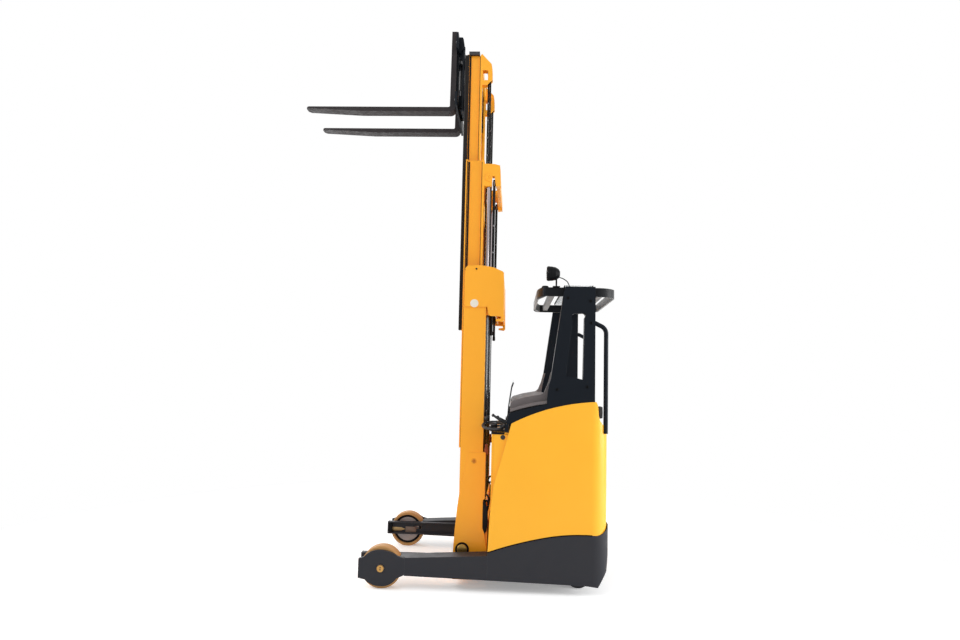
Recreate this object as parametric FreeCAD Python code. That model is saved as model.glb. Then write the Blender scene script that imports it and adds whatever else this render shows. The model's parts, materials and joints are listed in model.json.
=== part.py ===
"""Stand-on reach truck with a three-stage mast, raised part of the way.

Frame: +Z up, forks towards -X, drive end towards +X, origin on the floor under
the middle of the bounding box.  Inside this script X is measured rearwards from
the load wheels' axle and every piece is shifted once, when it is written.
The near side is -Y, the operator's left.
"""
import FreeCAD, Part
import math
import os
from FreeCAD import Vector

# ---------------------------------------------------------------- driving sizes
overall_width = 1270.0        # outside of the straddle legs
rear_x = 1570.0               # back of the chassis skirt, from the load axle
corner_r = 118.0              # rear corners in plan
moving_gap = 6.0              # least gap between bodies that pass each other
fit_gap = 0.3                 # gap between round faces on different bodies
bearing_gap = 0.05            # radial clearance of a shaft in its hub
lap = 2.0                     # how far one welded shape reaches into the next

# wheels
load_wheel_d = 285.0
load_wheel_w = 90.0
load_axle_d = 30.0
load_hub_d = 130.0
drive_wheel_d = 343.0
drive_wheel_w = 114.0
drive_axle_d = 36.0
drive_ring_d = 380.0          # slewing ring over the drive wheel
drive_side = 305.0            # drive wheel's middle inside the overall width
caster_d = 180.0
caster_w = 60.0
caster_x = 1335.0
caster_side = 205.0           # swivel's middle inside the overall width
caster_trail = 38.0
caster_axle_d = 16.0
caster_cheek = 8.0
tread_t = 22.0
wheel_side_gap = 5.0

# straddle legs
leg_w = 125.0                 # box part, outside the mast rail
leg_front_x = 165.0
leg_top_front = 218.0
leg_top_rear = 248.0
leg_bottom_front = 98.0
leg_bottom_rear = 86.0
channel_w = 46.0              # rail for the reach rollers
channel_h = 101.0
channel_front_x = -165.0
channel_z0 = 112.0
channel_wall = 9.0
bumper_l = 26.0
guard_plate = 20.0
slot_x0 = 62.0                # slot in the rail's web behind the wheel
slot_x1 = 122.0
slot_h = 26.0
wheel_arch_gap = 8.0
fender_l = 40.0

# chassis
body_front_x = 735.0
skirt = 30.0                  # skirt and side panel thickness
skirt_bottom = 70.0
deck_z = 215.0
deck_t = 20.0
beam_w = 60.0
beam_rear_x = 1140.0
mat_t = 14.0
panel_low_front = 272.0       # lower edge of the side panel, front
panel_low_mid = 383.0
panel_low_rear = 406.0

# battery bay
battery_front_x = 747.0
battery_plate = 12.0
battery_bay_h = 851.0
battery_l = 283.0
battery_h = 784.0
battery_side_gap = 15.0
bay_l = 343.0
vent_n = 7
vent_l = 110.0
vent_h = 12.0

# side panels, console and posts
panel_nose_x = 883.0
panel_nose_z = 1151.0
panel_crown_x = 1462.0
panel_crown_z = 1313.0
panel_tail_z = 1120.0
panel_back = 12.0             # the panels stand this much inside the skirt at the back
trim_h = 70.0
trim_front_x = 834.0
post_t = 60.0
post_inset = 5.0
post_front_low_x = 1132.0
post_front_high_x = 1250.0
post_rear_x = 1460.0
console_rise = 42.0           # console above the side panels' crown
console_lip = 20.0
screen_t = 6.0
screen_h = 366.0
pad_x0 = 1468.0
pad_z0 = 1194.0
pad_z1 = 1285.0
pad_depth = 55.0
pod_y0 = 150.0                # hydraulic levers
pod_y1 = 380.0
lever_n = 4
entry_near_y = -425.0         # rear entry, near edge
cover_h = 1010.0
cover_wall = 8.0
cover_gap = 4.0               # drive housing beside the rear entry
bridge_foot_t = 10.0          # foot of the motor's bridge
bridge_gap = 2.0              # that foot inside the housing

# overhead guard
guard_top = 2122.0
guard_h = 64.0
guard_t = 14.0
guard_front_x = 1056.0
guard_front_half = 350.0
guard_side_x = 1110.0
guard_rear_x = 1620.0
guard_corner_r = 140.0
guard_bar = 40.0
roof_t = 16.0
grab_d = 32.0
grab_x = 1541.0
grab_top = 1850.0
lamp_x = 1122.0
lamp_rise = 101.0             # lamp's axis above the guard
lamp_d = 104.0
lamp_l = 91.0

# steering wheel
wheel_rim_d = 176.0
rim_bar_d = 22.0
wheel_tilt = 15.0
steer_x = 757.0
steer_side = 115.0            # steering wheel's middle inside the overall width
steer_rise = 40.0             # steering wheel's middle above the battery lid

# mast
rail_l = 2175.0
rail_foot_z = 80.0
stage_lift = 870.0            # how far each stage stands raised
outer_x0 = 516.0
outer_depth = 164.0
middle_x0 = 500.0
middle_depth = 142.0
inner_x0 = 486.0
inner_depth = 120.0
rail_w = 60.0
rail_flange = 16.0
rail_web = 12.0
outer_web = 14.0
mast_side_gap = 18.0          # between the outer stage and the leg's roller rail
foot_plate_z = 930.0          # top of the wide plate at the mast's foot
foot_rear_x = 702.0
hood_t = 8.0
doubler_t = 4.0
head_plate = 10.0             # each of the two plates of the inner head
hood_rear_x = 814.0
tie_t = 12.0
low_tie_x = 702.0             # cross ties of the outer stage
high_tie_x = 746.0
mid_tie_up = 900.0            # middle cross ties above the foot of their stage
mid_tie_h = 80.0

# lift and reach cylinders
lift_barrel_d = 48.0
lift_rod_d = 30.0
lift_cyl_x = 676.0
eye_room = 12.0               # lowered head above the lift barrels
head_low = 206.0              # underside of the middle stage's head below its rail top
free_x = 537.0
free_barrel_d = 76.0
free_rod_d = 45.0
free_barrel_l = 905.0
reach_floor_z = 30.0
reach_floor_t = 24.0
reach_back_x = 706.0
reach_back_t = 18.0
reach_z = 150.0
reach_barrel_d = 56.0
reach_rod_d = 30.0
reach_barrel_l = 640.0
hose_d = 20.0
thin_hose_d = 14.0
slot_hose_l = 1025.0          # hose that hangs from the slot in the middle head
slot_hose_drop = 150.0        # its upper end below that stage's top
slot_hose_back = 77.0         # behind the middle rail

# forks and their carriage
fork_l = 1150.0
fork_w = 100.0
fork_t = 35.0
fork_spread = 444.0
fork_rise = 26.0              # blade's upper face above the carriage's lower edge
fork_shank_x = 352.0
fork_hook = 35.0              # top of the shank above the carriage
carriage_x = 396.0
carriage_plate = 16.0
carriage_drop = 435.0         # the carriage's lower edge below the innermost rail's top
carriage_rise = 176.0         # its upper edge above that top
carriage_half_w = 330.0
shift_plate_x = 444.0
shift_plate_t = 15.0
shift_half_w = 260.0
shift_frame_h = 500.0
shift_bar_h = 70.0
shift_side_w = 35.0
lug_half_w = 232.0
lug_t = 24.0
tilt_x = 430.0
tilt_drop = 86.0              # tilt pin below the carriage's upper edge
tilt_pin_d = 24.0
tilt_cyl_d = 40.0
tilt_cyl_y = 120.0

# ---------------------------------------------------------------- worked out
half_w = overall_width / 2
drive_y = half_w - drive_side
caster_y = -half_w + caster_side
drive_hole_r = drive_ring_d / 2 + moving_gap
entry_far_y = drive_y - drive_hole_r - bridge_foot_t - bridge_gap - cover_wall - cover_gap
tip_x = fork_shank_x - fork_l
origin_x = (max(rear_x, guard_rear_x) + tip_x) / 2
load_r = load_wheel_d / 2
leg_in = half_w - leg_w
channel_in = leg_in - channel_w
mast_outer_y = channel_in - mast_side_gap
channel_top = channel_z0 + channel_h
load_wheel_y = half_w - guard_plate - wheel_side_gap - load_wheel_w / 2
panel_in = half_w - skirt
post_out = half_w - post_inset
post_in = post_out - post_t
bay_rear_x = battery_front_x + bay_l
cover_rear_x = rear_x - skirt - panel_back - 2
drive_x = cover_rear_x - cover_wall - drive_hole_r
outer_x1 = outer_x0 + outer_depth
middle_x1 = middle_x0 + middle_depth
inner_x1 = inner_x0 + inner_depth
middle_out = mast_outer_y - outer_web - rail_w + moving_gap
inner_out = middle_out - rail_w - moving_gap
outer_flange_in = middle_out + moving_gap
middle_z0 = rail_foot_z + stage_lift
middle_z1 = middle_z0 + rail_l
inner_z0 = rail_foot_z + 2 * stage_lift
inner_z1 = inner_z0 + rail_l
carriage_low_z = inner_z1 - carriage_drop
carriage_high_z = inner_z1 + carriage_rise
fork_top = carriage_low_z + fork_rise
fork_shank_top = carriage_high_z + fork_hook
tilt_z = carriage_high_z - tilt_drop
head_z = middle_z1 - head_low
lift_barrel_top = head_z - stage_lift - eye_room
lift_y = middle_out - rail_w / 2 - 1.0
floor_top = reach_floor_z + reach_floor_t
steer_y = -half_w + steer_side
lamp_z = guard_top + lamp_rise
battery_top = deck_z + deck_t + battery_bay_h
steer_z = battery_top + steer_rise
screen_top = battery_top + screen_h
console_top = panel_crown_z + console_rise


# ---------------------------------------------------------------- helpers
def box(x0, x1, y0, y1, z0, z1):
    """A block between two corners."""
    return Part.makeBox(x1 - x0, y1 - y0, z1 - z0, Vector(x0, y0, z0))


def rod_x(x0, x1, y, z, r):
    return Part.makeCylinder(r, x1 - x0, Vector(x0, y, z), Vector(1, 0, 0))


def rod_y(x, y0, y1, z, r):
    return Part.makeCylinder(r, y1 - y0, Vector(x, y0, z), Vector(0, 1, 0))


def rod_z(x, y, z0, z1, r):
    return Part.makeCylinder(r, z1 - z0, Vector(x, y, z0), Vector(0, 0, 1))


def outline(points, place):
    """A closed wire. A point is (a, b), or (am, bm, a, b) for an arc through am, bm."""
    edges = []
    first = place(*points[0])
    last = first
    for point in points[1:]:
        if len(point) == 4:
            end = place(point[2], point[3])
            edges.append(Part.Arc(last, place(point[0], point[1]), end).toShape())
        else:
            end = place(*point)
            edges.append(Part.makeLine(last, end))
        last = end
    if not last.isEqual(first, 1e-6):
        edges.append(Part.makeLine(last, first))
    return Part.Wire(edges)


def side_prism(points, y0, y1):
    """Extrude an outline drawn in X and Z from y0 to y1."""
    wire = outline(points, lambda a, b: Vector(a, y0, b))
    return Part.Face(wire).extrude(Vector(0, y1 - y0, 0))


def plan_prism(points, z0, z1):
    """Extrude an outline drawn in X and Y from z0 to z1."""
    wire = outline(points, lambda a, b: Vector(a, b, z0))
    return Part.Face(wire).extrude(Vector(0, 0, z1 - z0))


def end_prism(points, x0, x1):
    """Extrude an outline drawn in Y and Z from x0 to x1."""
    wire = outline(points, lambda a, b: Vector(x0, a, b))
    return Part.Face(wire).extrude(Vector(x1 - x0, 0, 0))


def join(shapes):
    """Fuse shapes that touch into one solid."""
    first = shapes[0]
    return first.fuse(shapes[1:]).removeSplitter() if len(shapes) > 1 else first


def loose(shapes):
    """Keep shapes that do not touch as separate solids of one piece."""
    return Part.makeCompound(shapes)


def mirrored(shape):
    """The same shape on the far side."""
    return shape.mirror(Vector(0, 0, 0), Vector(0, 1, 0))


def revolve_y(points, x, z):
    """Turn a profile of (radius, y) about an axis along Y through x, z."""
    wire = outline(points, lambda a, b: Vector(x + a, b, z))
    return Part.Face(wire).revolve(Vector(x, 0, z), Vector(0, 1, 0), 360)


def tube_along(points, radius, bend):
    """A round bar along straight runs with tangent arcs at the corners."""
    path = [Vector(*p) for p in points]
    edges = []
    last = path[0]
    for before, corner, after in zip(path, path[1:], path[2:]):
        one = (before - corner).normalize()
        two = (after - corner).normalize()
        half = one.getAngle(two) / 2
        back = bend / math.tan(half)
        start = corner + one * back
        end = corner + two * back
        middle_way = (one + two).normalize()
        centre = corner + middle_way * (bend / math.sin(half))
        edges.append(Part.makeLine(last, start))
        edges.append(Part.Arc(start, centre - middle_way * bend, end).toShape())
        last = end
    edges.append(Part.makeLine(last, path[-1]))
    spine = Part.Wire(edges)
    ring = Part.Wire(Part.makeCircle(radius, path[0], path[1] - path[0]))
    return spine.makePipeShell([ring], True, False)


# ---------------------------------------------------------------- chassis
def body_plan(inset, front_x, back=0.0):
    """Plan of the rear body, rounded at the back corners, inset from the outside."""
    y = half_w - inset
    x = rear_x - inset - back
    r = corner_r - inset
    diagonal = r * (1 - math.sqrt(0.5))
    return [
        (front_x, -y), (x - r, -y), (x - diagonal, -y + diagonal, x, -y + r),
        (x, y - r), (x - diagonal, y - diagonal, x - r, y), (front_x, y)]


def panel_low_line():
    """Lower edge of the side panels, from the front to the back."""
    x = body_front_x
    return [
        (x, panel_low_front),
        (x + 185, panel_low_mid - 52, x + 404, panel_low_mid),
        (rear_x - 270, panel_low_rear - 2, rear_x - 110, panel_low_rear),
        (rear_x - 48, panel_low_rear + 10, rear_x + lap, panel_low_rear + 62)]


def make_chassis_base():
    """Skirt all round and the deck inside it."""
    tall = panel_low_rear + 100
    skin = plan_prism(body_plan(0, body_front_x), skirt_bottom - 20, tall)
    skin = skin.cut(plan_prism(body_plan(skirt, body_front_x + skirt), 0, tall + 1))
    side = [(body_front_x, leg_bottom_rear), *panel_low_line(), (rear_x + lap, 300.0),
            (rear_x - 16, skirt_bottom + 90), (rear_x - 79, skirt_bottom - 10), (rear_x - 150, skirt_bottom)]
    skin = skin.common(side_prism(side, -half_w - 1, half_w + 1))
    deck_top = deck_z + deck_t
    deck = plan_prism(body_plan(skirt - 1, body_front_x + skirt - 1), deck_z, deck_top)
    front_cut = box(body_front_x - 1, body_front_x + skirt + 1, -panel_in, panel_in, deck_top, tall)
    entry = box(rear_x - 60, rear_x + 40, entry_near_y, entry_far_y, deck_top, tall)
    drive_hole = rod_z(drive_x, drive_y, 0, tall, drive_hole_r)
    caster_hole = rod_z(caster_x, caster_y, 0, tall, 24.0)
    x0 = body_front_x - 10
    rod_hole = rod_x(x0, body_front_x + skirt + 10, 0, reach_z, reach_barrel_d / 2)
    return skin.fuse(deck).cut([front_cut, entry, drive_hole, caster_hole, rod_hole]).removeSplitter()


def make_chassis_beams():
    """Hollow side beams behind the legs and the cross beam that joins them."""
    x0 = body_front_x + skirt
    wall = channel_wall
    z0 = leg_bottom_front
    side = box(x0, beam_rear_x, -panel_in, -channel_in, z0, deck_z)
    room = box(x0 - 1, beam_rear_x - wall, -panel_in + wall, -channel_in - wall, z0 + wall, deck_z - wall)
    side = side.cut(room)
    cross = box(beam_rear_x - beam_w, beam_rear_x, -channel_in - 1, channel_in + 1, z0, deck_z)
    hole = rod_x(x0, beam_rear_x + 1, 0, reach_z, reach_barrel_d / 2 + fit_gap)
    return join([side, mirrored(side), cross]).cut(hole)


def make_leg():
    """Near leg: a box behind the wheel and the roller rail along its inside."""
    body = side_prism(
        [(leg_front_x, leg_bottom_front), (leg_front_x, leg_top_front),
         (body_front_x, leg_top_rear), (body_front_x, leg_bottom_rear)], -half_w, -leg_in)
    arch = rod_y(0, -half_w, -leg_in, load_r, load_r + wheel_arch_gap)
    fender = box(leg_front_x - fender_l, leg_front_x, -half_w + guard_plate, -leg_in,
                 leg_bottom_front, leg_top_front).cut(arch)
    rail = box(channel_front_x, body_front_x, -leg_in, -channel_in, channel_z0, channel_top)
    groove = box(channel_front_x + channel_wall, body_front_x + 1, -leg_in + channel_wall, -channel_in + 1,
                 channel_z0 + channel_wall, channel_top - channel_wall)
    axle_hole = rod_y(0, -leg_in - 1, -leg_in + channel_wall + 1, load_r, load_axle_d / 2)
    mid = (channel_z0 + channel_top) / 2
    slot = box(slot_x0, slot_x1, -leg_in - 1, -leg_in + channel_wall + 1, mid - slot_h / 2, mid + slot_h / 2)
    return join([body, fender, rail]).cut([groove, axle_hole, slot])


def make_rail_bumper():
    """Near end stop inside the front of the roller rail."""
    x0 = channel_front_x + channel_wall
    return box(x0, x0 + bumper_l, -leg_in + channel_wall, -channel_in - wheel_side_gap,
               channel_z0 + channel_wall, channel_top - channel_wall)


def make_wheel_guard():
    """Near guard plate outside the load wheel."""
    top = load_r + 121
    low = load_r - 118
    plate = side_prism(
        [(-155, 75), (-155, 205), (-118, 216), (-70, top - 12, 0, top), (62, top - 10, 118, 226),
         (leg_front_x, leg_top_front - 4), (leg_front_x, leg_bottom_front + 4), (112, 78),
         (60, low + 10, 0, low), (-60, low + 10, -108, 66)], -half_w, -half_w + guard_plate)
    return plate.cut(rod_y(0, -half_w - 1, -half_w + guard_plate + 1, load_r, load_axle_d / 2))


def make_load_axle():
    shaft = rod_y(0, -half_w - 2, -leg_in + channel_wall, load_r, load_axle_d / 2)
    cap = rod_y(0, -half_w - 8, -half_w - 2, load_r, 26)
    return join([shaft, cap])


def wheel_section(radius, width, hub_r, bore, y, dish):
    """Half section of a wheel: hub, sunk web and a tread with bevelled edges."""
    w = width / 2
    bevel = radius * 0.04
    inside = radius - tread_t
    near = [(bore, y - w), (hub_r, y - w), (hub_r + 4, y - w + dish), (inside - 4, y - w + dish),
            (inside, y - w), (radius - bevel, y - w), (radius, y - w + bevel)]
    return near + [(a, 2 * y - b) for a, b in reversed(near)]


def make_load_wheel(y):
    bore = load_axle_d / 2 + bearing_gap
    section = wheel_section(load_r, load_wheel_w, load_hub_d / 2, bore, y, load_wheel_w / 8)
    return revolve_y(section, 0, load_r)


def make_battery():
    x0 = battery_front_x + battery_plate + 9
    z0 = deck_z + deck_t
    y = panel_in - battery_side_gap
    return box(x0, x0 + battery_l, -y, y, z0, z0 + battery_h)


def make_battery_cover():
    """Front and back plate of the battery bay; the front one has vent slots."""
    z0 = deck_z + deck_t
    z1 = battery_top - battery_plate
    y = panel_in - 2
    front = box(battery_front_x, battery_front_x + battery_plate, -y, y, z0, z1)
    back = box(bay_rear_x - battery_plate, bay_rear_x, -y, y, z0, z1)
    vents = []
    for side in (-1, 1):
        for k in range(vent_n):
            middle = side * y / 2
            low = z0 + 130 + 3 * vent_h * k
            vents.append(box(battery_front_x - 1, battery_front_x + battery_plate + 1,
                             middle - vent_l / 2, middle + vent_l / 2, low, low + vent_h))
    return loose([front.cut(vents), back])


def make_battery_lid():
    """Top plate of the battery bay, rounded at its front edge."""
    y = panel_in - 2
    r = battery_plate - 2
    x0 = battery_front_x
    z0 = battery_top - battery_plate
    return side_prism(
        [(x0, z0), (x0, battery_top - r), (x0 + 0.3 * r, battery_top - 0.3 * r, x0 + r, battery_top),
         (bay_rear_x, battery_top), (bay_rear_x, z0)], -y, y)


def side_panel_profile():
    """The side panel: lower edge, the step down at the rear and the sweep to the nose."""
    cx, cz = panel_crown_x, panel_crown_z
    return [
        *panel_low_line(), (rear_x + lap, panel_tail_z + 10), (rear_x - 21, panel_tail_z + 15),
        (cx + 46, panel_tail_z + 52, cx + 26, cz - 73), (cx + 20, cz - 20), (cx + 10, cz), (cx, cz),
        ((cx + panel_nose_x) / 2, (cz + panel_nose_z) / 2 + 34, panel_nose_x, panel_nose_z),
        (body_front_x + 87, panel_nose_z - 233), (body_front_x + 33, panel_nose_z - 423),
        (body_front_x + 10, panel_nose_z - 631)]


def make_side_panel(rear_edge_y):
    """Near side panel, carried round the rear corner as far as rear_edge_y."""
    low = panel_low_front - 72
    high = panel_crown_z + 87
    shell = plan_prism(body_plan(0, body_front_x - 35, panel_back), low, high)
    shell = shell.cut(plan_prism(body_plan(skirt, body_front_x - 36, panel_back), low - 1, high + 1))
    shell = shell.common(box(body_front_x - 100, rear_x + 10, -half_w - 1, rear_edge_y, low, high))
    return shell.common(side_prism(side_panel_profile(), -half_w - 1, rear_edge_y + 1))


def make_floor_mat():
    """Mat on the deck with two flat pedals."""
    z = deck_z + deck_t
    mat = box(bay_rear_x + 4, rear_x, -panel_in, entry_far_y - 16, z, z + mat_t)
    mat = mat.common(plan_prism(body_plan(skirt + 6, body_front_x - 35, panel_back), z, z + mat_t))
    x0 = bay_rear_x + 60
    pedals = [box(x0, x0 + 90, y, y + 120, z + mat_t - 1, z + mat_t + 6) for y in (-430.0, -260.0)]
    return join([mat] + pedals)


def make_drive_cover():
    """Housing over the drive unit, open below."""
    z0 = deck_z + deck_t
    x0 = bay_rear_x + 2
    y0 = entry_far_y + cover_gap
    y1 = panel_in - 2
    t = cover_wall
    front_x = body_front_x - 35
    skin = box(x0, cover_rear_x, y0, y1, z0, cover_h)
    skin = skin.common(plan_prism(body_plan(skirt + 2, front_x, panel_back), z0, cover_h))
    room = box(x0 + t, cover_rear_x - t, y0 + t, y1 - t, z0 - 1, cover_h - t)
    room = room.common(plan_prism(body_plan(skirt + 2 + t, front_x, panel_back), z0 - 1, cover_h - t))
    return skin.cut(room)


def make_drive_motor():
    """Traction motor on the bridge that carries it over the slewing ring."""
    r = drive_hole_r
    x0 = drive_x - 100
    x1 = drive_x + 100
    y0 = drive_y - r - bridge_foot_t
    z0 = deck_z + deck_t
    low = z0 + 211
    high = low + 16
    top = box(x0, x1, y0, drive_y + r + 14, low, high)
    feet = [box(x0, x1, y0, drive_y - r, z0, low + 1),
            box(x0, x1, drive_y + r + 2, drive_y + r + 14, z0, low + 1)]
    motor = rod_z(drive_x, drive_y, high - 1, high + 330, 105)
    return join([top, motor] + feet)


def make_console_body():
    """Console across the front of the operator bay."""
    x0 = trim_front_x + 30
    y = post_in - 2
    rear = post_front_low_x + 10
    return side_prism(
        [(x0, battery_top), (x0 + 7, panel_nose_z + 83), (x0 + 7, console_top - 79),
         (x0 + 18, console_top - 56, x0 + 41, console_top - 42), (x0 + 112, console_top - 20),
         (x0 + 218, console_top), (rear, console_top - 4), (rear, battery_top + 94),
         (bay_rear_x, battery_top + 44), (bay_rear_x, battery_top)], -y, y)


def make_console_flare():
    """Near wing that carries the console's top up along the front of the post."""
    y = -post_in + 2
    x = post_front_low_x
    return side_prism(
        [(x - 50, console_top), (x - 28, console_top + 12, x - 15, console_top + 33),
         (x + 5, console_top + 83), (x + 25, console_top + 161), (x + 43, console_top + 161),
         (x + 20, console_top + 60), (x + 10, console_top - 4)], y, y + console_lip)


def make_console_lip():
    """Near lip of the console that covers the top of the trim band."""
    y = -post_in
    x0 = trim_front_x + 37
    z0 = panel_nose_z + 79
    x1 = post_front_low_x
    z1 = panel_crown_z - 20
    h = console_lip
    mid = (x0 + x1) / 2
    rise = (z0 + z1) / 2 + 8
    band = [(x0, z0), (mid, rise, x1, z1), (x1, z1 + h), (mid, rise + h, x0, z0 + h)]
    return side_prism(band, y - 50, y + 2)


def make_console(post):
    """The console with its side lips and wings."""
    lip = make_console_lip().cut(post)
    flare = make_console_flare()
    return join([make_console_body(), lip, mirrored(lip), flare, mirrored(flare)])


def make_instrument_panel():
    x0 = post_front_low_x + 10
    return box(x0, x0 + 10, -300, -40, console_top - 145, console_top - 35)


def make_control_levers():
    """Pod with the hydraulic levers on the far side of the operator bay."""
    x0 = post_front_low_x + 10
    z0 = battery_top + 94
    pod = side_prism(
        [(x0, z0), (x0, z0 + 60), (x0 + 50, z0 + 52), (x0 + 62, z0 + 36), (x0 + 62, z0)], pod_y0, pod_y1)
    parts = [pod]
    pitch = (pod_y1 - pod_y0) / lever_n
    for k in range(lever_n):
        y = pod_y0 + pitch * (k + 0.5)
        parts.append(rod_z(x0 + 30, y, z0 + 40, z0 + 120, 5))
        parts.append(rod_z(x0 + 30, y, z0 + 116, z0 + 146, 11))
    return join(parts)


def make_screen():
    """Clear screen in front of the console, leaning back."""
    t = screen_t
    low_x = trim_front_x + 6
    edge = [(low_x, battery_top), (low_x + 8, screen_top - 307), (low_x + 16, screen_top - 193),
            (low_x + 35, screen_top - 57), (low_x + 49, screen_top)]
    back = [(x + t, z) for x, z in reversed(edge)]
    return side_prism(edge + back, -380, panel_in - 3 * console_lip)


def make_post():
    """Near side post with the dark trim that runs forward on the panel."""
    y1 = -post_out
    low = post_front_low_x
    high = post_front_high_x
    nose_x, nose_z = panel_nose_x, panel_nose_z
    crown_x, crown_z = panel_crown_x, panel_crown_z
    outer = side_prism(
        [(nose_x, nose_z), (nose_x - 17, nose_z - 4), (nose_x - 20, battery_top + 4),
         (trim_front_x, battery_top + 9), (trim_front_x + 31, nose_z + trim_h),
         (trim_front_x + 166, nose_z + trim_h + 38, low - 4, crown_z - 23), (low + 8, crown_z + 111),
         (low + 22, crown_z + 161), (high - 16, guard_top - 69), (high, guard_top), (post_rear_x, guard_top),
         (crown_x, crown_z), ((crown_x + nose_x) / 2, (crown_z + nose_z) / 2 + 34, nose_x, nose_z)],
        y1, y1 + post_t)
    slot = side_prism(
        [(high + 8, crown_z + 172), (high + 50, guard_top - 242),
         (high + 53, guard_top - 197, high + 80, guard_top - 192), (post_rear_x - 88, guard_top - 188),
         (post_rear_x - 76, guard_top - 192, post_rear_x - 76, guard_top - 222),
         (post_rear_x - 83, crown_z + 153), (high + 70, crown_z + 167)], y1 - 1, y1 + post_t + 1)
    return outer, slot


# ---------------------------------------------------------------- overhead guard
def ring_plan(inset):
    y = post_in - inset
    x0 = guard_front_x + inset
    x1 = guard_rear_x - inset
    r = guard_corner_r - inset
    d = r * (1 - math.sqrt(0.5))
    side_x = guard_side_x + inset / 2
    front_y = guard_front_half - inset / 2
    return [
        (x0, -front_y), (side_x, -y), (x1 - r, -y), (x1 - d, -y + d, x1, -y + r),
        (x1, y - r), (x1 - d, y - d, x1 - r, y), (side_x, y), (x0, front_y)]


def make_guard_ring():
    z0 = guard_top - guard_h
    ring = plan_prism(ring_plan(0), z0, guard_top).cut(plan_prism(ring_plan(guard_t), z0 - 1, guard_top + 1))
    y = post_in - guard_t
    span = guard_rear_x - guard_front_x
    half = guard_bar / 2
    bars = []
    for share in (0.19, 0.51, 0.81):
        x = guard_front_x + share * span
        bars.append(box(x - half, x + half, -y, y, z0 + 14, guard_top - 10))
    return join([ring] + bars)


def make_roof_plate():
    return box(post_front_high_x, post_rear_x - 12, -post_in, post_in, guard_top, guard_top + roof_t)


def make_lamp():
    """Round head lamp on a stalk, with its switch box on the guard."""
    y = -post_in + guard_t
    r = lamp_d / 2
    x0 = lamp_x
    x1 = lamp_x + lamp_l
    foot = box(x0 + 40, x0 + 90, y - 30, y + 20, guard_top, guard_top + 8)
    stalk = rod_z(x0 + 66, y, guard_top + 7, lamp_z - r / 2, 6)
    bowl = [(x0, 0), (x0, r - 4), (x0 + 6, r), (x0 + 30, r), (x1 - 32, r * 0.9), (x1 - 10, r * 0.65),
            (x1, r * 0.35), (x1, 0)]
    wire = outline(bowl, lambda a, b: Vector(a, y, lamp_z + b))
    head = Part.Face(wire).revolve(Vector(x0, y, lamp_z), Vector(1, 0, 0), 360)
    return join([foot, stalk, head])


def make_grab_bar():
    y = -half_w + 45
    path = [(post_rear_x, y, grab_top + 19), (grab_x, y, grab_top - 20), (grab_x, y, panel_tail_z - 26)]
    return tube_along(path, grab_d / 2, 60)


def make_back_pad():
    x1 = grab_x - grab_d / 2 - 1
    return box(pad_x0, x1, -panel_in, -panel_in + pad_depth, pad_z0, pad_z1)


# ---------------------------------------------------------------- steering
def make_steering_wheel():
    centre = Vector(steer_x, steer_y, steer_z)
    sides = 10
    bar = rim_bar_d / 2
    reach = wheel_rim_d / 2 - bar
    ring = []
    for k in range(sides):
        turn = 2 * math.pi * (k + 0.5) / sides
        ring.append(Vector(steer_x + reach + bar * math.cos(turn), steer_y, steer_z + bar * math.sin(turn)))
    section = Part.Face(Part.makePolygon(ring + ring[:1]))
    rim = section.revolve(centre, Vector(0, 0, 1), 360)
    hub = rod_z(steer_x, steer_y, steer_z - 12, steer_z + 12, 24)
    spokes = [box(steer_x + 10, steer_x + reach, steer_y - 9, steer_y + 9, steer_z - 5, steer_z + 5)]
    for turn in (120, 240):
        arm = spokes[0].copy()
        arm.rotate(centre, Vector(0, 0, 1), turn)
        spokes.append(arm)
    wheel = join([rim, hub] + spokes)
    wheel.rotate(centre, Vector(1, 0, 0), wheel_tilt)
    return wheel


def make_steering_column():
    """Stem under the wheel and its foot on the battery lid."""
    centre = Vector(steer_x, steer_y, steer_z)
    stem = rod_z(steer_x, steer_y, steer_z - 40, steer_z - 12 - fit_gap, 20)
    stem.rotate(centre, Vector(1, 0, 0), wheel_tilt)
    stem = stem.cut(box(steer_x - 60, steer_x + 60, steer_y - 60, steer_y + 60, 0, battery_top))
    foot = box(steer_x - 24, trim_front_x + 29, steer_y - 22, steer_y + 30, battery_top, battery_top + 14)
    return join([stem, foot])


def make_direction_lever():
    """Small lever with a ball that reaches over the steering wheel's rim."""
    x1 = trim_front_x + 24
    z0 = battery_top + 13
    y = steer_y
    top = Vector(steer_x + 29, y, z0 + 90)
    bend = Vector(x1, y, z0 + 56)
    upright = rod_z(x1, y, z0, z0 + 58, 4)
    arm = Part.makeCylinder(4, (top - bend).Length, bend, top - bend)
    knob = [(0, -9), (6, -8), (9, -3), (9, 3), (6, 8), (0, 9)]
    wire = outline(knob, lambda a, b: Vector(top.x + a, y, top.z + b))
    ball = Part.Face(wire).revolve(top, Vector(0, 0, 1), 360)
    return join([upright, arm, ball])


# ---------------------------------------------------------------- drive unit and caster
def make_drive_unit():
    """Gearbox, slewing ring and stub shaft above the drive wheel."""
    z = drive_wheel_d / 2
    inner_y = drive_y + drive_wheel_w / 2 + 6
    ring_r = drive_ring_d / 2
    top = deck_z + deck_t + 205
    case = box(drive_x - 70, drive_x + 70, inner_y, inner_y + 56, z - 75, top - 40)
    case = case.common(rod_z(drive_x, drive_y, 0, top, ring_r))
    head = rod_z(drive_x, drive_y, top - 80, top - 20, ring_r - 40)
    ring = rod_z(drive_x, drive_y, top - 20, top, ring_r)
    shaft = rod_y(drive_x, drive_y - drive_wheel_w / 2 + 10, inner_y, z, drive_axle_d / 2)
    return join([head, ring, case, shaft])


def make_drive_wheel():
    bore = drive_axle_d / 2 + bearing_gap
    r = drive_wheel_d / 2
    return revolve_y(wheel_section(r, drive_wheel_w, 60, bore, drive_y, drive_wheel_w / 5), drive_x, r)


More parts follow.
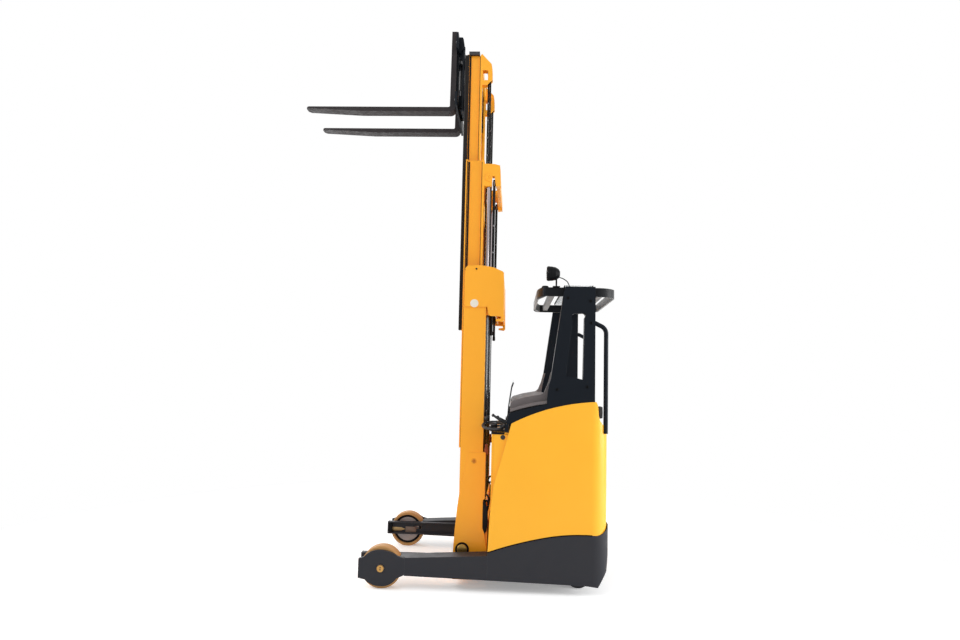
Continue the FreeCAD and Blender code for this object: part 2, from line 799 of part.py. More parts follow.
def make_caster_fork():
    wheel_x = caster_x + caster_trail
    r = caster_d / 2
    t = caster_cheek
    half = caster_w / 2 + wheel_side_gap
    crown = caster_d + moving_gap
    top = box(caster_x - 45, caster_x + 45, caster_y - half - t, caster_y + half + t, crown, crown + 10)
    cheeks = []
    for y0 in (caster_y - half - t, caster_y + half):
        cheeks.append(side_prism(
            [(caster_x - 40, crown), (caster_x + 45, crown), (wheel_x + 24, r), (wheel_x, r - 24),
             (wheel_x - 24, r)], y0, y0 + t))
    stem = rod_z(caster_x, caster_y, crown + 10, deck_z + deck_t - 2, 20)
    axle = rod_y(wheel_x, caster_y - half - t, caster_y + half + t, r, caster_axle_d / 2)
    return join([top, stem, axle] + cheeks)


def make_caster_wheel():
    bore = caster_axle_d / 2 + bearing_gap
    r = caster_d / 2
    section = wheel_section(r, caster_w, 30, bore, caster_y, caster_w / 8)
    return revolve_y(section, caster_x + caster_trail, r)


# ---------------------------------------------------------------- mast
def i_rail(x0, x1, out, z0, z1):
    """Near I-section rail whose outer face is at -out."""
    y0 = -out
    y1 = -out + rail_w
    mid = (y0 + y1) / 2
    parts = [
        box(x0, x0 + rail_flange, y0, y1, z0, z1),
        box(x1 - rail_flange, x1, y0, y1, z0, z1),
        box(x0 + rail_flange - 1, x1 - rail_flange + 1, mid - rail_web / 2, mid + rail_web / 2, z0, z1)]
    return join(parts)


def foot_profile(z0, z1):
    """Side shape of the outer rail's plate, wide at the mast's foot."""
    rear = foot_rear_x
    return [
        (outer_x0 - 34, z0), (outer_x0 - 35, z0 + 195), (outer_x0 - 26, z0 + 342), (outer_x0 - 13, z0 + 497),
        (outer_x0, z0 + 600), (outer_x0, z1), (outer_x1, z1), (outer_x1, foot_plate_z),
        (rear, foot_plate_z - 4), (rear, z0 + 570), (rear - 12, z0 + 560), (rear - 12, z0 + 360),
        (rear, z0 + 335), (rear + 22, z0 + 210), (rear + 22, z0)]


def outer_tie(x, low, high):
    """A cross tie of the outer stage with its two brackets."""
    edge = outer_flange_in - 8
    parts = [box(x, x + tie_t - 2, -edge - 2, edge + 2, low, high)]
    for side in (-edge - 20, edge):
        parts.append(box(outer_x1 - 4, x + tie_t - 2, side, side + 20, low, high))
    return parts


def make_outer_mast():
    z0 = reach_floor_z
    z1 = rail_foot_z + rail_l
    y = -mast_outer_y
    web = side_prism(foot_profile(z0, z1), y, y + outer_web)
    flange_z = floor_top
    width = mast_outer_y - outer_flange_in
    front = box(outer_x0, outer_x0 + rail_flange, y, y + width, flange_z, z1)
    back = box(outer_x1 - rail_flange, outer_x1, y, y + width, flange_z, z1)
    roller_x = (middle_x0 + middle_x1) / 2
    web_face = -middle_out + (rail_w - rail_web) / 2
    pin = rod_y(roller_x, y, web_face - moving_gap - 10, z1 - 90, 18)
    roller = rod_y(roller_x, web_face - moving_gap - 16, web_face - moving_gap, z1 - 90,
                   middle_depth / 2 - rail_flange - 1)
    near = join([web, front, back, pin, roller])
    near = join([near, make_foot_plate()])
    low = outer_tie(low_tie_x, z0 + 440, z0 + 540)
    high = outer_tie(high_tie_x, z1 - 325, z1 - 225)
    return join([near, mirrored(near)] + low + high)


def make_foot_plate():
    """Near doubler on the outside of the mast's foot, with its round plug."""
    z0 = reach_floor_z + 10
    z1 = foot_plate_z - 4
    rear = foot_rear_x
    y = -mast_outer_y - doubler_t
    plate = side_prism(
        [(outer_x0 - 30, z0), (outer_x0 - 31, z0 + 185), (outer_x0 - 22, z0 + 332),
         (outer_x0 - 9, z0 + 487), (outer_x0 + 10, z0 + 615), (outer_x0 + 60, z1), (rear - 2, z1),
         (rear - 2, z0 + 558), (rear - 14, z0 + 548), (rear - 14, z0 + 352), (rear - 2, z0 + 325),
         (rear + 18, z0 + 200), (rear + 18, z0)], y, y + doubler_t)
    plug = rod_y(outer_x0 + 102, y - 3, y + 1, z1 - 62, 13)
    return join([plate, plug])


def make_foot_boss():
    """Near stepped boss on the mast's foot."""
    y = -mast_outer_y - doubler_t
    ring = rod_y(outer_x0 + 31, y - 6, y, reach_floor_z + 210, 50)
    return ring.cut(rod_y(outer_x0 + 31, y - 7, y - 4, reach_floor_z + 210, 38))


def make_mast_hood():
    """Side plates and back plate around the head of the middle mast."""
    y = mast_outer_y
    r = hood_rear_x
    z = rail_foot_z + rail_l
    plate = side_prism(
        [(outer_x0 + 4, z - 270), (outer_x0 + 5, z + 18), (outer_x0 + 24, z + 37), (outer_x0 + 98, z + 42),
         (r - 133, z + 35), (r - 81, z + 25), (r - 14, z - 4), (r - 6, z - 15),
         (r - 4, z - 142), (r, z - 364),
         (r - 10, z - 379), (r - 58, z - 373), (r - 58, z - 358), (r - 22, z - 354), (r - 22, z - 339),
         (r - 103, z - 336), (r - 118, z - 318), (r - 124, z - 270)], -y - hood_t, -y)
    back = box(r - 16, r - 8, -y - 1, y + 1, z - 330, z - 15)
    return join([plate, mirrored(plate), back])


def make_middle_mast():
    z0, z1 = middle_z0, middle_z1
    rail = i_rail(middle_x0, middle_x1, middle_out, z0, z1)
    y = -middle_out + rail_w / 2
    low_x = (outer_x0 + outer_x1) / 2
    low_roller = rod_y(low_x, -middle_out - 46, -middle_out - 14, z0 + 90, outer_depth / 2 - rail_flange - 1)
    low_pin = rod_y(low_x, -middle_out - 16, y, z0 + 90, 18)
    top_x = (inner_x0 + inner_x1) / 2
    top_roller = rod_y(top_x, -inner_out - 24, -inner_out + 22, z1 - 90, inner_depth / 2 - rail_flange - 1)
    top_pin = rod_y(top_x, y, -inner_out - 2, z1 - 90, 18)
    x = middle_x1
    head = side_prism(
        [(x - 2, z1 - 3), (x + 2, z1 - 31), (x + 80, z1 - 34), (x + 118, z1 - 44), (x + 123, z1 - 80),
         (x + 129, z1 - 205), (x + 91, z1 - 209), (x + 78, z1 - 128), (x + 60, z1 - 128), (x + 60, head_z),
         (x - 2, head_z)], -middle_out, -middle_out + rail_w)
    near = join([rail, low_roller, low_pin, top_roller, top_pin, head])
    cross = box(x + 94, x + 122, -middle_out + lap, middle_out - lap, z1 - 190, z1 - 90)
    edge = middle_out - rail_w + lap
    ties = []
    mid_z = z0 + mid_tie_up
    for low, high in ((z0 + 20, z0 + 160), (mid_z, mid_z + mid_tie_h), (z1 - 430, z1 - 320)):
        ties.append(box(x - tie_t, x, -edge, edge, low, high))
    return join([near, mirrored(near), cross] + ties)


def make_middle_hose():
    """Near hose that hangs from the slot in the middle head."""
    high = middle_z1 - slot_hose_drop
    hose = rod_z(middle_x1 + slot_hose_back, -lift_y, high - slot_hose_l, high, hose_d / 2)
    return hose.cut(make_middle_mast())


def make_inner_mast():
    z0, z1 = inner_z0, inner_z1
    rail = i_rail(inner_x0, inner_x1, inner_out, z0, z1)
    y = -inner_out + rail_w / 2
    low_x = (middle_x0 + middle_x1) / 2
    low_roller = rod_y(low_x, -inner_out - 26, -inner_out - 2, z0 + 90, middle_depth / 2 - rail_flange - 1)
    low_pin = rod_y(low_x, -inner_out - 4, y, z0 + 90, 18)
    x = inner_x1
    hook = [(x - 8, z1 - 4), (x - 8, z1 + 9), (x + 71, z1 - 77), (x + 78, z1 - 117), (x + 80, z1 - 199),
            (x + 37, z1 - 244), (x - 8, z1 - 244)]
    opening = box(x + 3, x + 44, -inner_out - 1, -inner_out + rail_w + 1, z1 - 207, z1 - 126)
    plates = []
    for y0 in (-inner_out, -inner_out + rail_w - head_plate):
        plates.append(side_prism(hook, y0, y0 + head_plate).cut(opening))
    near = join([rail, low_roller, low_pin] + plates)
    cross = box(x - 14, x + 2, -inner_out + lap, inner_out - lap, z1 - 120, z1 - 40)
    edge = inner_out - rail_w + lap
    ties = [cross]
    mid_z = z0 + mid_tie_up
    for low, high in ((z0 + 4, z0 + 40), (mid_z, mid_z + mid_tie_h)):
        ties.append(box(x - 14, x - 4, -edge, edge, low, high))
    foot = box(free_x - 45, x - 4, -60, 60, z0 + 4, z0 + 16)
    return join([near, mirrored(near), foot] + ties)


def make_inner_cap():
    """Near cap on the top end of the inner rail."""
    return box(inner_x0 + 12, inner_x1 - 24, -inner_out, -inner_out + rail_w, inner_z1, inner_z1 + 26)


def make_inner_hose():
    """Near hose that hangs from the sheave in the inner head."""
    y = -inner_out + rail_w / 2
    r = thin_hose_d / 2
    return rod_z(middle_x1 + moving_gap + r, y, middle_z1 - 165, inner_z1 - 107, r)


def make_lift_barrel():
    """Near lift cylinder barrel with its gland bore."""
    x, y = lift_cyl_x, -lift_y
    r = lift_barrel_d / 2
    tube = rod_z(x, y, floor_top, lift_barrel_top, r)
    gland = rod_z(x, y, lift_barrel_top - 60, lift_barrel_top, r + 3)
    bore = rod_z(x, y, floor_top + 40, lift_barrel_top + 1, lift_rod_d / 2 + fit_gap)
    return join([tube, gland]).cut(bore)


def make_lift_rod():
    return rod_z(lift_cyl_x, -lift_y, head_z - 1850, head_z, lift_rod_d / 2)


def make_reach_frame():
    """Foot of the mast: floor plate and back plate between the outer rails."""
    y = mast_outer_y - outer_web
    x1 = reach_back_x + reach_back_t
    floor = box(outer_x0 - 16, x1, -y, y, reach_floor_z, floor_top)
    back = box(reach_back_x, x1, -y, y, floor_top - lap, 420)
    rod_eye = box(reach_back_x - 30, reach_back_x + 1, -25, 25, reach_z - 30, reach_z + 30)
    return join([floor, back, rod_eye])


def make_reach_rollers():
    """Rollers that run in the rails of the legs, two on each side."""
    rollers = []
    z = channel_z0 + channel_h / 2
    r = channel_h / 2 - channel_wall - 1
    face = -mast_outer_y - doubler_t
    for x in (outer_x0 + 32, outer_x0 + 166):
        wheel = rod_y(x, face - 42, face - 16, z, r)
        pin = rod_y(x, face - 18, face, z, 16)
        pair = join([wheel, pin])
        rollers.append(pair)
        rollers.append(mirrored(pair))
    return loose(rollers)


def make_reach_barrel():
    x0 = body_front_x + 10
    tube = rod_x(x0, x0 + reach_barrel_l, 0, reach_z, reach_barrel_d / 2)
    bore = rod_x(x0 - 1, x0 + reach_barrel_l - 20, 0, reach_z, reach_rod_d / 2 + fit_gap)
    hanger = box(x0 + 450, x0 + 490, -30, 30, reach_z, deck_z)
    return join([tube, hanger]).cut(bore)


def make_reach_rod():
    x0 = reach_back_x + reach_back_t
    return rod_x(x0, x0 + reach_barrel_l - 30, 0, reach_z, reach_rod_d / 2)


# ---------------------------------------------------------------- lift carriage and forks
def make_free_barrel():
    z0 = inner_z0 + 16
    tube = rod_z(free_x, 0, z0, z0 + free_barrel_l, free_barrel_d / 2)
    return tube.cut(rod_z(free_x, 0, z0 + 20, z0 + free_barrel_l + 1, free_rod_d / 2 + fit_gap))


def make_free_rod():
    """Rod with the chain sheave in its yoke."""
    foot = inner_z0 + 11 + free_barrel_l
    top = foot + 905
    rod = rod_z(free_x, 0, foot, top, free_rod_d / 2)
    yoke = box(free_x - 22, free_x + 22, -46, 46, top, top + 20)
    ears = [box(free_x - 20, free_x + 20, y, y + 8, top + 18, top + 76) for y in (-46, 38)]
    sheave = rod_y(free_x, -30, 30, top + 62, 38)
    pin = rod_y(free_x, -46, 46, top + 62, 10)
    return join([rod, yoke, sheave, pin] + ears)


def make_lift_carriage():
    """Roller frame that runs inside the inner mast."""
    y = inner_out - rail_w - moving_gap
    x0 = shift_plate_x + shift_plate_t + moving_gap + 1
    z0 = carriage_low_z + 20
    z1 = z0 + 420
    near = box(x0, x0 + 120, -y, -y + 16, z0, z1)
    mid = (inner_x0 + inner_x1) / 2
    r = inner_depth / 2 - rail_flange - 1
    rollers = [rod_y(mid, -y - 24, -y, z, r) for z in (z0 + 60, z1 - 60)]
    near = join([near] + rollers)
    bars = [box(x0, x0 + 16, -y, y, low, low + 87) for low in (z0, z1 - 70)]
    return join([near, mirrored(near)] + bars)


def make_sideshift_frame():
    """Open frame in front of the lift carriage, with the lugs of the tilt pin."""
    x0 = shift_plate_x
    x1 = x0 + shift_plate_t
    low = carriage_low_z
    w = shift_half_w
    high = low + shift_frame_h
    bars = [box(x0, x1, -w, w, z, z + shift_bar_h) for z in (low, high - shift_bar_h)]
    sides = [box(x0, x1, y, y + shift_side_w, low, high) for y in (-w, w - shift_side_w)]
    lugs = [box(tilt_x - 14, x1, y, y + lug_t, tilt_z - 90, tilt_z + 16)
            for y in (-lug_half_w, lug_half_w - lug_t)]
    hole = rod_y(tilt_x, -lug_half_w - 8, lug_half_w + 8, tilt_z, tilt_pin_d / 2 + bearing_gap)
    return join(bars + sides + lugs).cut(hole)


def make_tilt_barrels():
    """Two upright tilt cylinders; their lower eyes hang between the fork plate's ears."""
    r = tilt_cyl_d / 2
    x = tilt_x - 2
    low = carriage_low_z
    cylinders = []
    for y in (-tilt_cyl_y, tilt_cyl_y):
        barrel = rod_z(x, y, low + 230, low + 390, r)
        stem = rod_z(x, y, low + 165, low + 231, 12)
        eye = rod_y(x, y - 6, y + 6, low + 162, 14)
        clevis = box(x - 10, shift_plate_x, y - 8, y + 8, low + 388, low + 450)
        cylinders.append(join([barrel, stem, eye, clevis]))
    return loose(cylinders)


def make_fork_carriage():
    """Fork plate hung from the tilt pin at its top."""
    x0 = carriage_x
    x1 = carriage_x + carriage_plate
    w = carriage_half_w
    low = carriage_low_z + 24
    high = carriage_high_z
    bars = [box(x0, x1, -w, w, low, low + 106), box(x0, x1, -w, w, high - 130, high)]
    ribs = [box(x0, x1, y, y + 70, low, high) for y in (-240, -35, 170)]
    lug_side = [
        (x1 - 1, high), (x0 + 43, high), (x0 + 51, high - 17), (x0 + 58, high - 60),
        (x0 + 58, high - 95), (x0 + 36, high - 110), (x0 + 36, high - 130), (x1 - 1, high - 130)]
    lugs = [side_prism(lug_side, y, y + 14) for y in (-251, -203, 189, 237)]
    pin = rod_y(tilt_x, -252, 252, tilt_z, tilt_pin_d / 2)
    ears = []
    for y in (-tilt_cyl_y, tilt_cyl_y):
        for y0 in (y - 22, y + 12):
            ears.append(box(x1 - 1, tilt_x + 14, y0, y0 + 10, low + 56, low + 152))
    return join(bars + ribs + lugs + [pin] + ears)


def make_fork(y):
    """One fork: tapered blade, heel radius and shank."""
    z = fork_top
    x = fork_shank_x
    low = z - fork_t
    back = carriage_x
    heel = back - x
    share = heel * math.sqrt(0.5)
    blade = [
        (tip_x, z - 4), (tip_x + 6, z, tip_x + 14, z), (x - 12, z), (x - 3, z + 4, x, z + 12),
        (x + 4, fork_shank_top), (back, fork_shank_top), (back, low + heel),
        (x + share, low + heel - share, x, low), (tip_x + 440, low), (tip_x, z - 12)]
    fork = side_prism(blade, y - fork_w / 2, y + fork_w / 2)
    half = fork_w / 2
    nose = plan_prism(
        [(tip_x, y - 22), (tip_x + 12, y - 42, tip_x + 60, y - half), (x + 200, y - half),
         (x + 200, y + half), (tip_x + 60, y + half), (tip_x + 12, y + 42, tip_x, y + 22)],
        z - 200, fork_shank_top + 10)
    return fork.common(nose)


def both_sides(shape):
    """A near shape and its far twin as separate solids of one piece."""
    return loose([shape, mirrored(shape)])


# ---------------------------------------------------------------- write
def build():
    pieces = {}
    pieces["chassis_base"] = make_chassis_base()
    pieces["chassis_beams"] = make_chassis_beams()
    leg = make_leg()
    pieces["leg_near"] = leg
    pieces["leg_far"] = mirrored(leg)
    pieces["rail_bumpers"] = both_sides(make_rail_bumper())
    wheel_guard = make_wheel_guard()
    pieces["wheel_guard_near"] = wheel_guard
    pieces["wheel_guard_far"] = mirrored(wheel_guard)
    pieces["load_axles"] = both_sides(make_load_axle())
    pieces["load_wheel_near"] = make_load_wheel(-load_wheel_y)
    pieces["load_wheel_far"] = make_load_wheel(load_wheel_y)
    pieces["battery"] = make_battery()
    pieces["battery_cover"] = make_battery_cover()
    pieces["battery_lid"] = make_battery_lid()
    near_panel = make_side_panel(entry_near_y)
    pieces["side_panel_near"] = near_panel
    pieces["side_panel_far"] = mirrored(make_side_panel(-entry_far_y))
    pieces["floor_mat"] = make_floor_mat()
    pieces["drive_cover"] = make_drive_cover()
    pieces["drive_motor"] = make_drive_motor()
    post, slot = make_post()
    pieces["console"] = make_console(post)
    pieces["console_screen"] = make_screen()
    levers = make_control_levers().cut(pieces["console"])
    pieces["operator_controls"] = loose([levers, make_instrument_panel()])
    pieces["post_near"] = post.cut(slot)
    pieces["post_far"] = mirrored(post)
    pieces["guard_ring"] = make_guard_ring()
    pieces["roof_plate"] = make_roof_plate()
    pieces["work_lamp"] = make_lamp()
    grab = make_grab_bar().cut([near_panel, post])
    pieces["grab_bar_near"] = grab
    pieces["grab_bar_far"] = mirrored(grab)
    pieces["back_pad"] = make_back_pad().cut(near_panel)
    pieces["steering_wheel"] = make_steering_wheel()
    pieces["steering_column"] = join([make_steering_column(), make_direction_lever()]).cut(pieces["console"])
    pieces["drive_unit"] = make_drive_unit()
    pieces["drive_wheel"] = make_drive_wheel()
    pieces["caster_fork"] = make_caster_fork()
    pieces["caster_wheel"] = make_caster_wheel()
    pieces["reach_barrel"] = make_reach_barrel()
    pieces["reach_rod"] = make_reach_rod()
    pieces["reach_frame"] = make_reach_frame()
    pieces["reach_rollers"] = make_reach_rollers()
    pieces["outer_mast"] = make_outer_mast()
    pieces["foot_bosses"] = both_sides(make_foot_boss())
    pieces["mast_hood"] = make_mast_hood()
    pieces["lift_barrels"] = both_sides(make_lift_barrel())
    pieces["lift_rods"] = both_sides(make_lift_rod())
    pieces["middle_mast"] = make_middle_mast()
    pieces["middle_hoses"] = both_sides(make_middle_hose())
    pieces["inner_mast"] = make_inner_mast()
    pieces["inner_caps"] = both_sides(make_inner_cap())
    pieces["inner_hoses"] = both_sides(make_inner_hose())
    pieces["free_lift_barrel"] = make_free_barrel()
    pieces["free_lift_rod"] = make_free_rod()
    pieces["lift_carriage"] = make_lift_carriage()
    pieces["sideshift_frame"] = make_sideshift_frame()
    pieces["tilt_barrels"] = make_tilt_barrels()
    pieces["fork_carriage"] = make_fork_carriage()
    pieces["fork_near"] = make_fork(-fork_spread / 2)
    pieces["fork_far"] = make_fork(fork_spread / 2)
    return pieces


os.makedirs("parts", exist_ok=True)
for name, shape in build().items():
    shape = shape.copy()
    shape.translate(Vector(-origin_x, 0, 0))
    shape.exportStep("parts/" + name + ".step")
    print(name, shape.isValid(), len(shape.Solids), round(shape.Volume / 1e6, 3), "litres")
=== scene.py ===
"""Dress the stand-on reach truck: finishes, fasteners, chains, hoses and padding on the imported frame.

Each sub-assembly of the truck is a class that holds its sizes and builds its own
pieces.  Lengths are in metres and every place is read from the CAD nodes' boxes.
"""

import json
import logging
import math
from dataclasses import dataclass
from enum import Enum
from typing import Iterable

import bmesh
import bpy
from mathutils import Matrix, Vector

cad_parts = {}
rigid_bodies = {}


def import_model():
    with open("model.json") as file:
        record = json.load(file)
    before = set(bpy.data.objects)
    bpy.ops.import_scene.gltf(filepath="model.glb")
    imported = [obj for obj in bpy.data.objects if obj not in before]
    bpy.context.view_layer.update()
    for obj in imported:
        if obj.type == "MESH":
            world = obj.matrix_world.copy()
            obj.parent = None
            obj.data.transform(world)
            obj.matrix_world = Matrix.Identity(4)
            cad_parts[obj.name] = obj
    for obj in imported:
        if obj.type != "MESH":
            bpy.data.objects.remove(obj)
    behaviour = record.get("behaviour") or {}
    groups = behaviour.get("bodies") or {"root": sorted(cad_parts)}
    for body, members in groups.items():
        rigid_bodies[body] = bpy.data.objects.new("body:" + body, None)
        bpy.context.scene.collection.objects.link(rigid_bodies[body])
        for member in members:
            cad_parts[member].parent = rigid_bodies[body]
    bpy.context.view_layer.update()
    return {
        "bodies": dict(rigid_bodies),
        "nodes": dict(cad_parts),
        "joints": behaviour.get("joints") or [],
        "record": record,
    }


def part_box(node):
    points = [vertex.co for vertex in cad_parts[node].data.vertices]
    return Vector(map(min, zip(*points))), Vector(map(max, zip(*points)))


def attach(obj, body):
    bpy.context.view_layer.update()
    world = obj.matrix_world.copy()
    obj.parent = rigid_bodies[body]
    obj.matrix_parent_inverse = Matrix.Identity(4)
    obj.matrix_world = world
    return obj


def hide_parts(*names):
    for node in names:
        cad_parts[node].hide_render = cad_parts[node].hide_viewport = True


log = logging.getLogger("reach_truck")

MM = 0.001
UP = Vector((0, 0, 1))
AHEAD = Vector((-1, 0, 0))
Mesh = bpy.types.Mesh
Tree = bpy.types.NodeTree
Socket = bpy.types.NodeSocket
Material = bpy.types.Material
Links = dict[str | int, object]
Point = tuple[float, float, float]
Profile = list[tuple[float, float]]
Places = list[tuple[Vector, Vector]]


# ------------------------------------------------------------------ colours and nodes
def linear(hex_colour: str) -> tuple[float, float, float, float]:
    """Turn an sRGB hex colour into linear light.

    Args:
        hex_colour: Six hex digits, such as "FDB735".

    Returns:
        Red, green, blue and an alpha of 1.
    """
    channels = []
    for start in (0, 2, 4):
        value = int(hex_colour[start:start + 2], 16) / 255.0
        channels.append(value / 12.92 if value <= 0.04045 else ((value + 0.055) / 1.055) ** 2.4)
    return (channels[0], channels[1], channels[2], 1.0)


WHITE = linear("FFFFFF")


def add_node(tree: Tree, kind: str, links: Links | None = None, **settings: object) -> bpy.types.Node:
    """Add one node with its inputs and its settings.

    Args:
        tree: The node tree that gets the node.
        kind: The node's type, such as "ShaderNodeTexNoise".
        links: Input sockets by name or index, each with a value or an output socket.
        settings: Properties of the node by name.

    Returns:
        The new node.
    """
    node = tree.nodes.new(kind)
    for name, value in settings.items():
        setattr(node, name, value)
    for key, value in (links or {}).items():
        socket = node.inputs[key]
        if isinstance(value, Socket):
            tree.links.new(value, socket)
        else:
            socket.default_value = value
    return node


def empty_tree(owner: Material | bpy.types.World) -> Tree:
    """Turn a material's or world's nodes on and clear them."""
    owner.use_nodes = True
    owner.node_tree.nodes.clear()
    return owner.node_tree


# ------------------------------------------------------------------ finishes
# Cosine between a flat and a softened normal where the edge colour starts and where it is full; on bare
# steel, iron and tread it is rubbed wear, on the coats and plastics a painted highlight.
WEAR_AND_HIGHLIGHT_STARTS = 0.985
WEAR_AND_HIGHLIGHT_FULL = 0.82
# Roughness of handled and of dusty patches, as shares of a finish's own.
HANDLED = 0.85
DUSTY = 1.2


@dataclass(frozen=True)
class Finish:
    """A surface as the maker would name it, with the record's material slot that it belongs to.

    The slow change of colour, the fine relief and the softened edges are shared by
    all finishes; a subclass changes what its own process leaves on the surface.
    """

    name: str
    slot: str
    colour: str
    shade: str
    roughness: float
    metallic: float = 0.0
    coat: float = 0.0
    shine: float = 0.5
    sheen: float = 0.0
    patch_mm: float = 350.0
    grain_mm: float = 2.5
    grain_depth_mm: float = 0.03
    edge_mm: float = 2.0
    edge_colour: str = ""
    edge_share: float = 0.5

    @staticmethod
    def noise(tree: Tree, place: Socket, scale: float, detail: float, roughness: float) -> Socket:
        """Noise between 0 and 1 over the surface."""
        return add_node(tree, "ShaderNodeTexNoise", {
            "Vector": place, "Scale": scale, "Detail": detail, "Roughness": roughness}).outputs["Fac"]

    @staticmethod
    def blend(tree: Tree, share: Socket, one: object, two: object) -> Socket:
        """A colour between two others, by the second one's share."""
        mix = add_node(tree, "ShaderNodeMix", {"Factor": share, 6: one, 7: two}, data_type="RGBA")
        return mix.outputs[2]

    def tint(self, tree: Tree, place: Socket) -> Socket:
        """Base colour over the surface, between the colour and its shade."""
        patches = self.noise(tree, place, 1.0 / (self.patch_mm * MM), 4.0, 0.55)
        return self.blend(tree, patches, linear(self.colour), linear(self.shade))

    def gloss(self, tree: Tree, place: Socket) -> Socket:
        """Roughness over the surface, a little higher in patches of handling and dust."""
        spread = add_node(tree, "ShaderNodeMapRange", {
            "Value": self.noise(tree, place, 2.4 / (self.patch_mm * MM), 5.0, 0.6), "From Min": 0.3,
            "From Max": 0.7, "To Min": self.roughness * HANDLED,
            "To Max": min(1.0, self.roughness * DUSTY)})
        return spread.outputs["Result"]

    def inputs(self, tree: Tree, place: Socket) -> dict[str, object]:
        """Inputs of the surface shader, by name."""
        edge = add_node(tree, "ShaderNodeBevel", {"Radius": self.edge_mm * MM}, samples=4)
        bump = add_node(tree, "ShaderNodeBump", {
            "Strength": 1.0, "Distance": self.grain_depth_mm * MM, "Normal": edge.outputs["Normal"],
            "Height": self.noise(tree, place, 1.0 / (self.grain_mm * MM), 2.0, 0.5)})
        colour = self.tint(tree, place)
        # Edges take the edge colour: rubbed wear on bare steel, iron and tread, a painted highlight on the
        # coats and plastics.
        if self.edge_colour:
            flat = add_node(tree, "ShaderNodeNewGeometry").outputs["Normal"]
            lean = add_node(tree, "ShaderNodeVectorMath", {0: edge.outputs["Normal"], 1: flat},
                            operation="DOT_PRODUCT")
            wear_and_highlight = add_node(tree, "ShaderNodeMapRange", {
                "Value": lean.outputs["Value"], "From Min": WEAR_AND_HIGHLIGHT_STARTS, "From Max": WEAR_AND_HIGHLIGHT_FULL,
                "To Min": 0.0, "To Max": self.edge_share})
            colour = self.blend(tree, wear_and_highlight.outputs["Result"], colour, linear(self.edge_colour))
        return {"Base Color": colour, "Roughness": self.gloss(tree, place), "Metallic": self.metallic,
                "Coat Weight": self.coat, "Specular IOR Level": self.shine, "Sheen Weight": self.sheen,
                "Sheen Roughness": 0.35, "Normal": bump.outputs["Normal"]}

    def material(self) -> Material:
        """Build the material once and return it after that.

        Returns:
            The material that carries this finish.
        """
        found = bpy.data.materials.get(self.name)
        if found is not None:
            return found
        material = bpy.data.materials.new(self.name)
        tree = empty_tree(material)
        place = add_node(tree, "ShaderNodeTexCoord").outputs["Object"]
        shader = add_node(tree, "ShaderNodeBsdfPrincipled", self.inputs(tree, place))
        add_node(tree, "ShaderNodeOutputMaterial", {"Surface": shader.outputs["BSDF"]})
        return material

    def dress(self, obj: bpy.types.Object) -> None:
        """Give the finish to every slot of an object."""
        if not obj.data.materials:
            obj.data.materials.append(self.material())
        for index in range(len(obj.material_slots)):
            obj.material_slots[index].material = self.material()


@dataclass(frozen=True)
class ClearSheet(Finish):
    """Clear polycarbonate: see-through, with a faint tint."""

    def inputs(self, tree: Tree, place: Socket) -> dict[str, object]:
        """Inputs of a thin clear sheet that glass would be too heavy for."""
        return {"Base Color": self.tint(tree, place), "Roughness": self.gloss(tree, place),
                "Transmission Weight": 0.9, "Alpha": 0.45}


# The lighter edge colours below are a painted highlight on the coats and plastics, and rubbed wear on the
# bare metals and the tread.
# Polyester powder coat over steel: even colour, faint orange peel, soft highlight.
PANEL_YELLOW = Finish("panel_yellow_powder_coat", "yellow_paint", "FDB729", "F9B024", 0.4, coat=0.1,
                      shine=0.35, edge_mm=3.0, edge_colour="FFC850")
# The same coat on hot-rolled mast sections, a little redder and rougher.
MAST_ORANGE = Finish("mast_orange_powder_coat", "mast_orange", "FDB029", "F8A622", 0.42, coat=0.1,
                     shine=0.35, grain_mm=4.0, grain_depth_mm=0.06, edge_colour="FFC860")
# That coat in a darker amber, on the sockets of the mast's foot.
SOCKET_AMBER = Finish("darker_socket_mast_coat", "mast_orange", "C97F22", "A8661A", 0.5, shine=0.3,
                      patch_mm=8.0, edge_mm=0.5)
# Textured anthracite coat on the chassis and legs: fine pebbled grain, low sheen.
CHASSIS_ANTHRACITE = Finish("chassis_anthracite_textured_coat", "anthracite_paint", "2B2C32", "26272C", 0.5,
                            shine=0.25, grain_mm=1.6, grain_depth_mm=0.12, edge_mm=3.0, edge_colour="4B4C52")
# Blue-black coat of the guard posts and carriage parts.
GUARD_BLACK = Finish("guard_black_powder_coat", "black_paint", "0E141C", "0B1118", 0.42, shine=0.13,
                     grain_mm=1.8, grain_depth_mm=0.08, edge_mm=2.5, edge_colour="2B3036")
# The same coat on the guard's hoop, with the pale bloom it shows along a slanting view.
HOOP_BLACK = Finish("guard_hoop_powder_coat", "black_paint", "0E1115", "0B0E12", 0.4, shine=0.13, sheen=0.45,
                    grain_mm=1.8, grain_depth_mm=0.08, edge_mm=2.5, edge_colour="2B3036")
# Post screws and the bearing rings of the mast's foot.
BLACKED_STEEL = Finish("blackened_steel", "black_paint", "050608", "040506", 0.5, shine=0.1, edge_mm=0.5)
# Forged and scaled fork steel: dark oxide, brighter where pallets rub.
FORK_STEEL = Finish("forged_fork_steel", "fork_steel", "272427", "332E2E", 0.6, metallic=0.15, shine=0.2,
                    patch_mm=120.0, grain_mm=6.0, grain_depth_mm=0.1, edge_mm=1.5, edge_colour="6E6762")
ROLLER_STEEL = Finish("turned_roller_steel", "roller_steel", "77777A", "5E5E62", 0.35, metallic=0.9,
                      edge_colour="A5A5A8")
TRACK_STEEL = Finish("rolled_bright_steel", "roller_steel", "A8A6A4", "8E8B88", 0.3, metallic=0.9,
                     patch_mm=80.0, edge_mm=0.3)
# Near-black strips on the rails' flange edges and the innermost rail's front, and painted shade in the
# corners of the webs.
DARK_EDGE_AND_SHADE = Finish("near_black_edge_and_painted_shade", "roller_steel", "0F0B09", "17100B", 0.4, shine=0.2,
                       patch_mm=90.0, edge_mm=0.5)
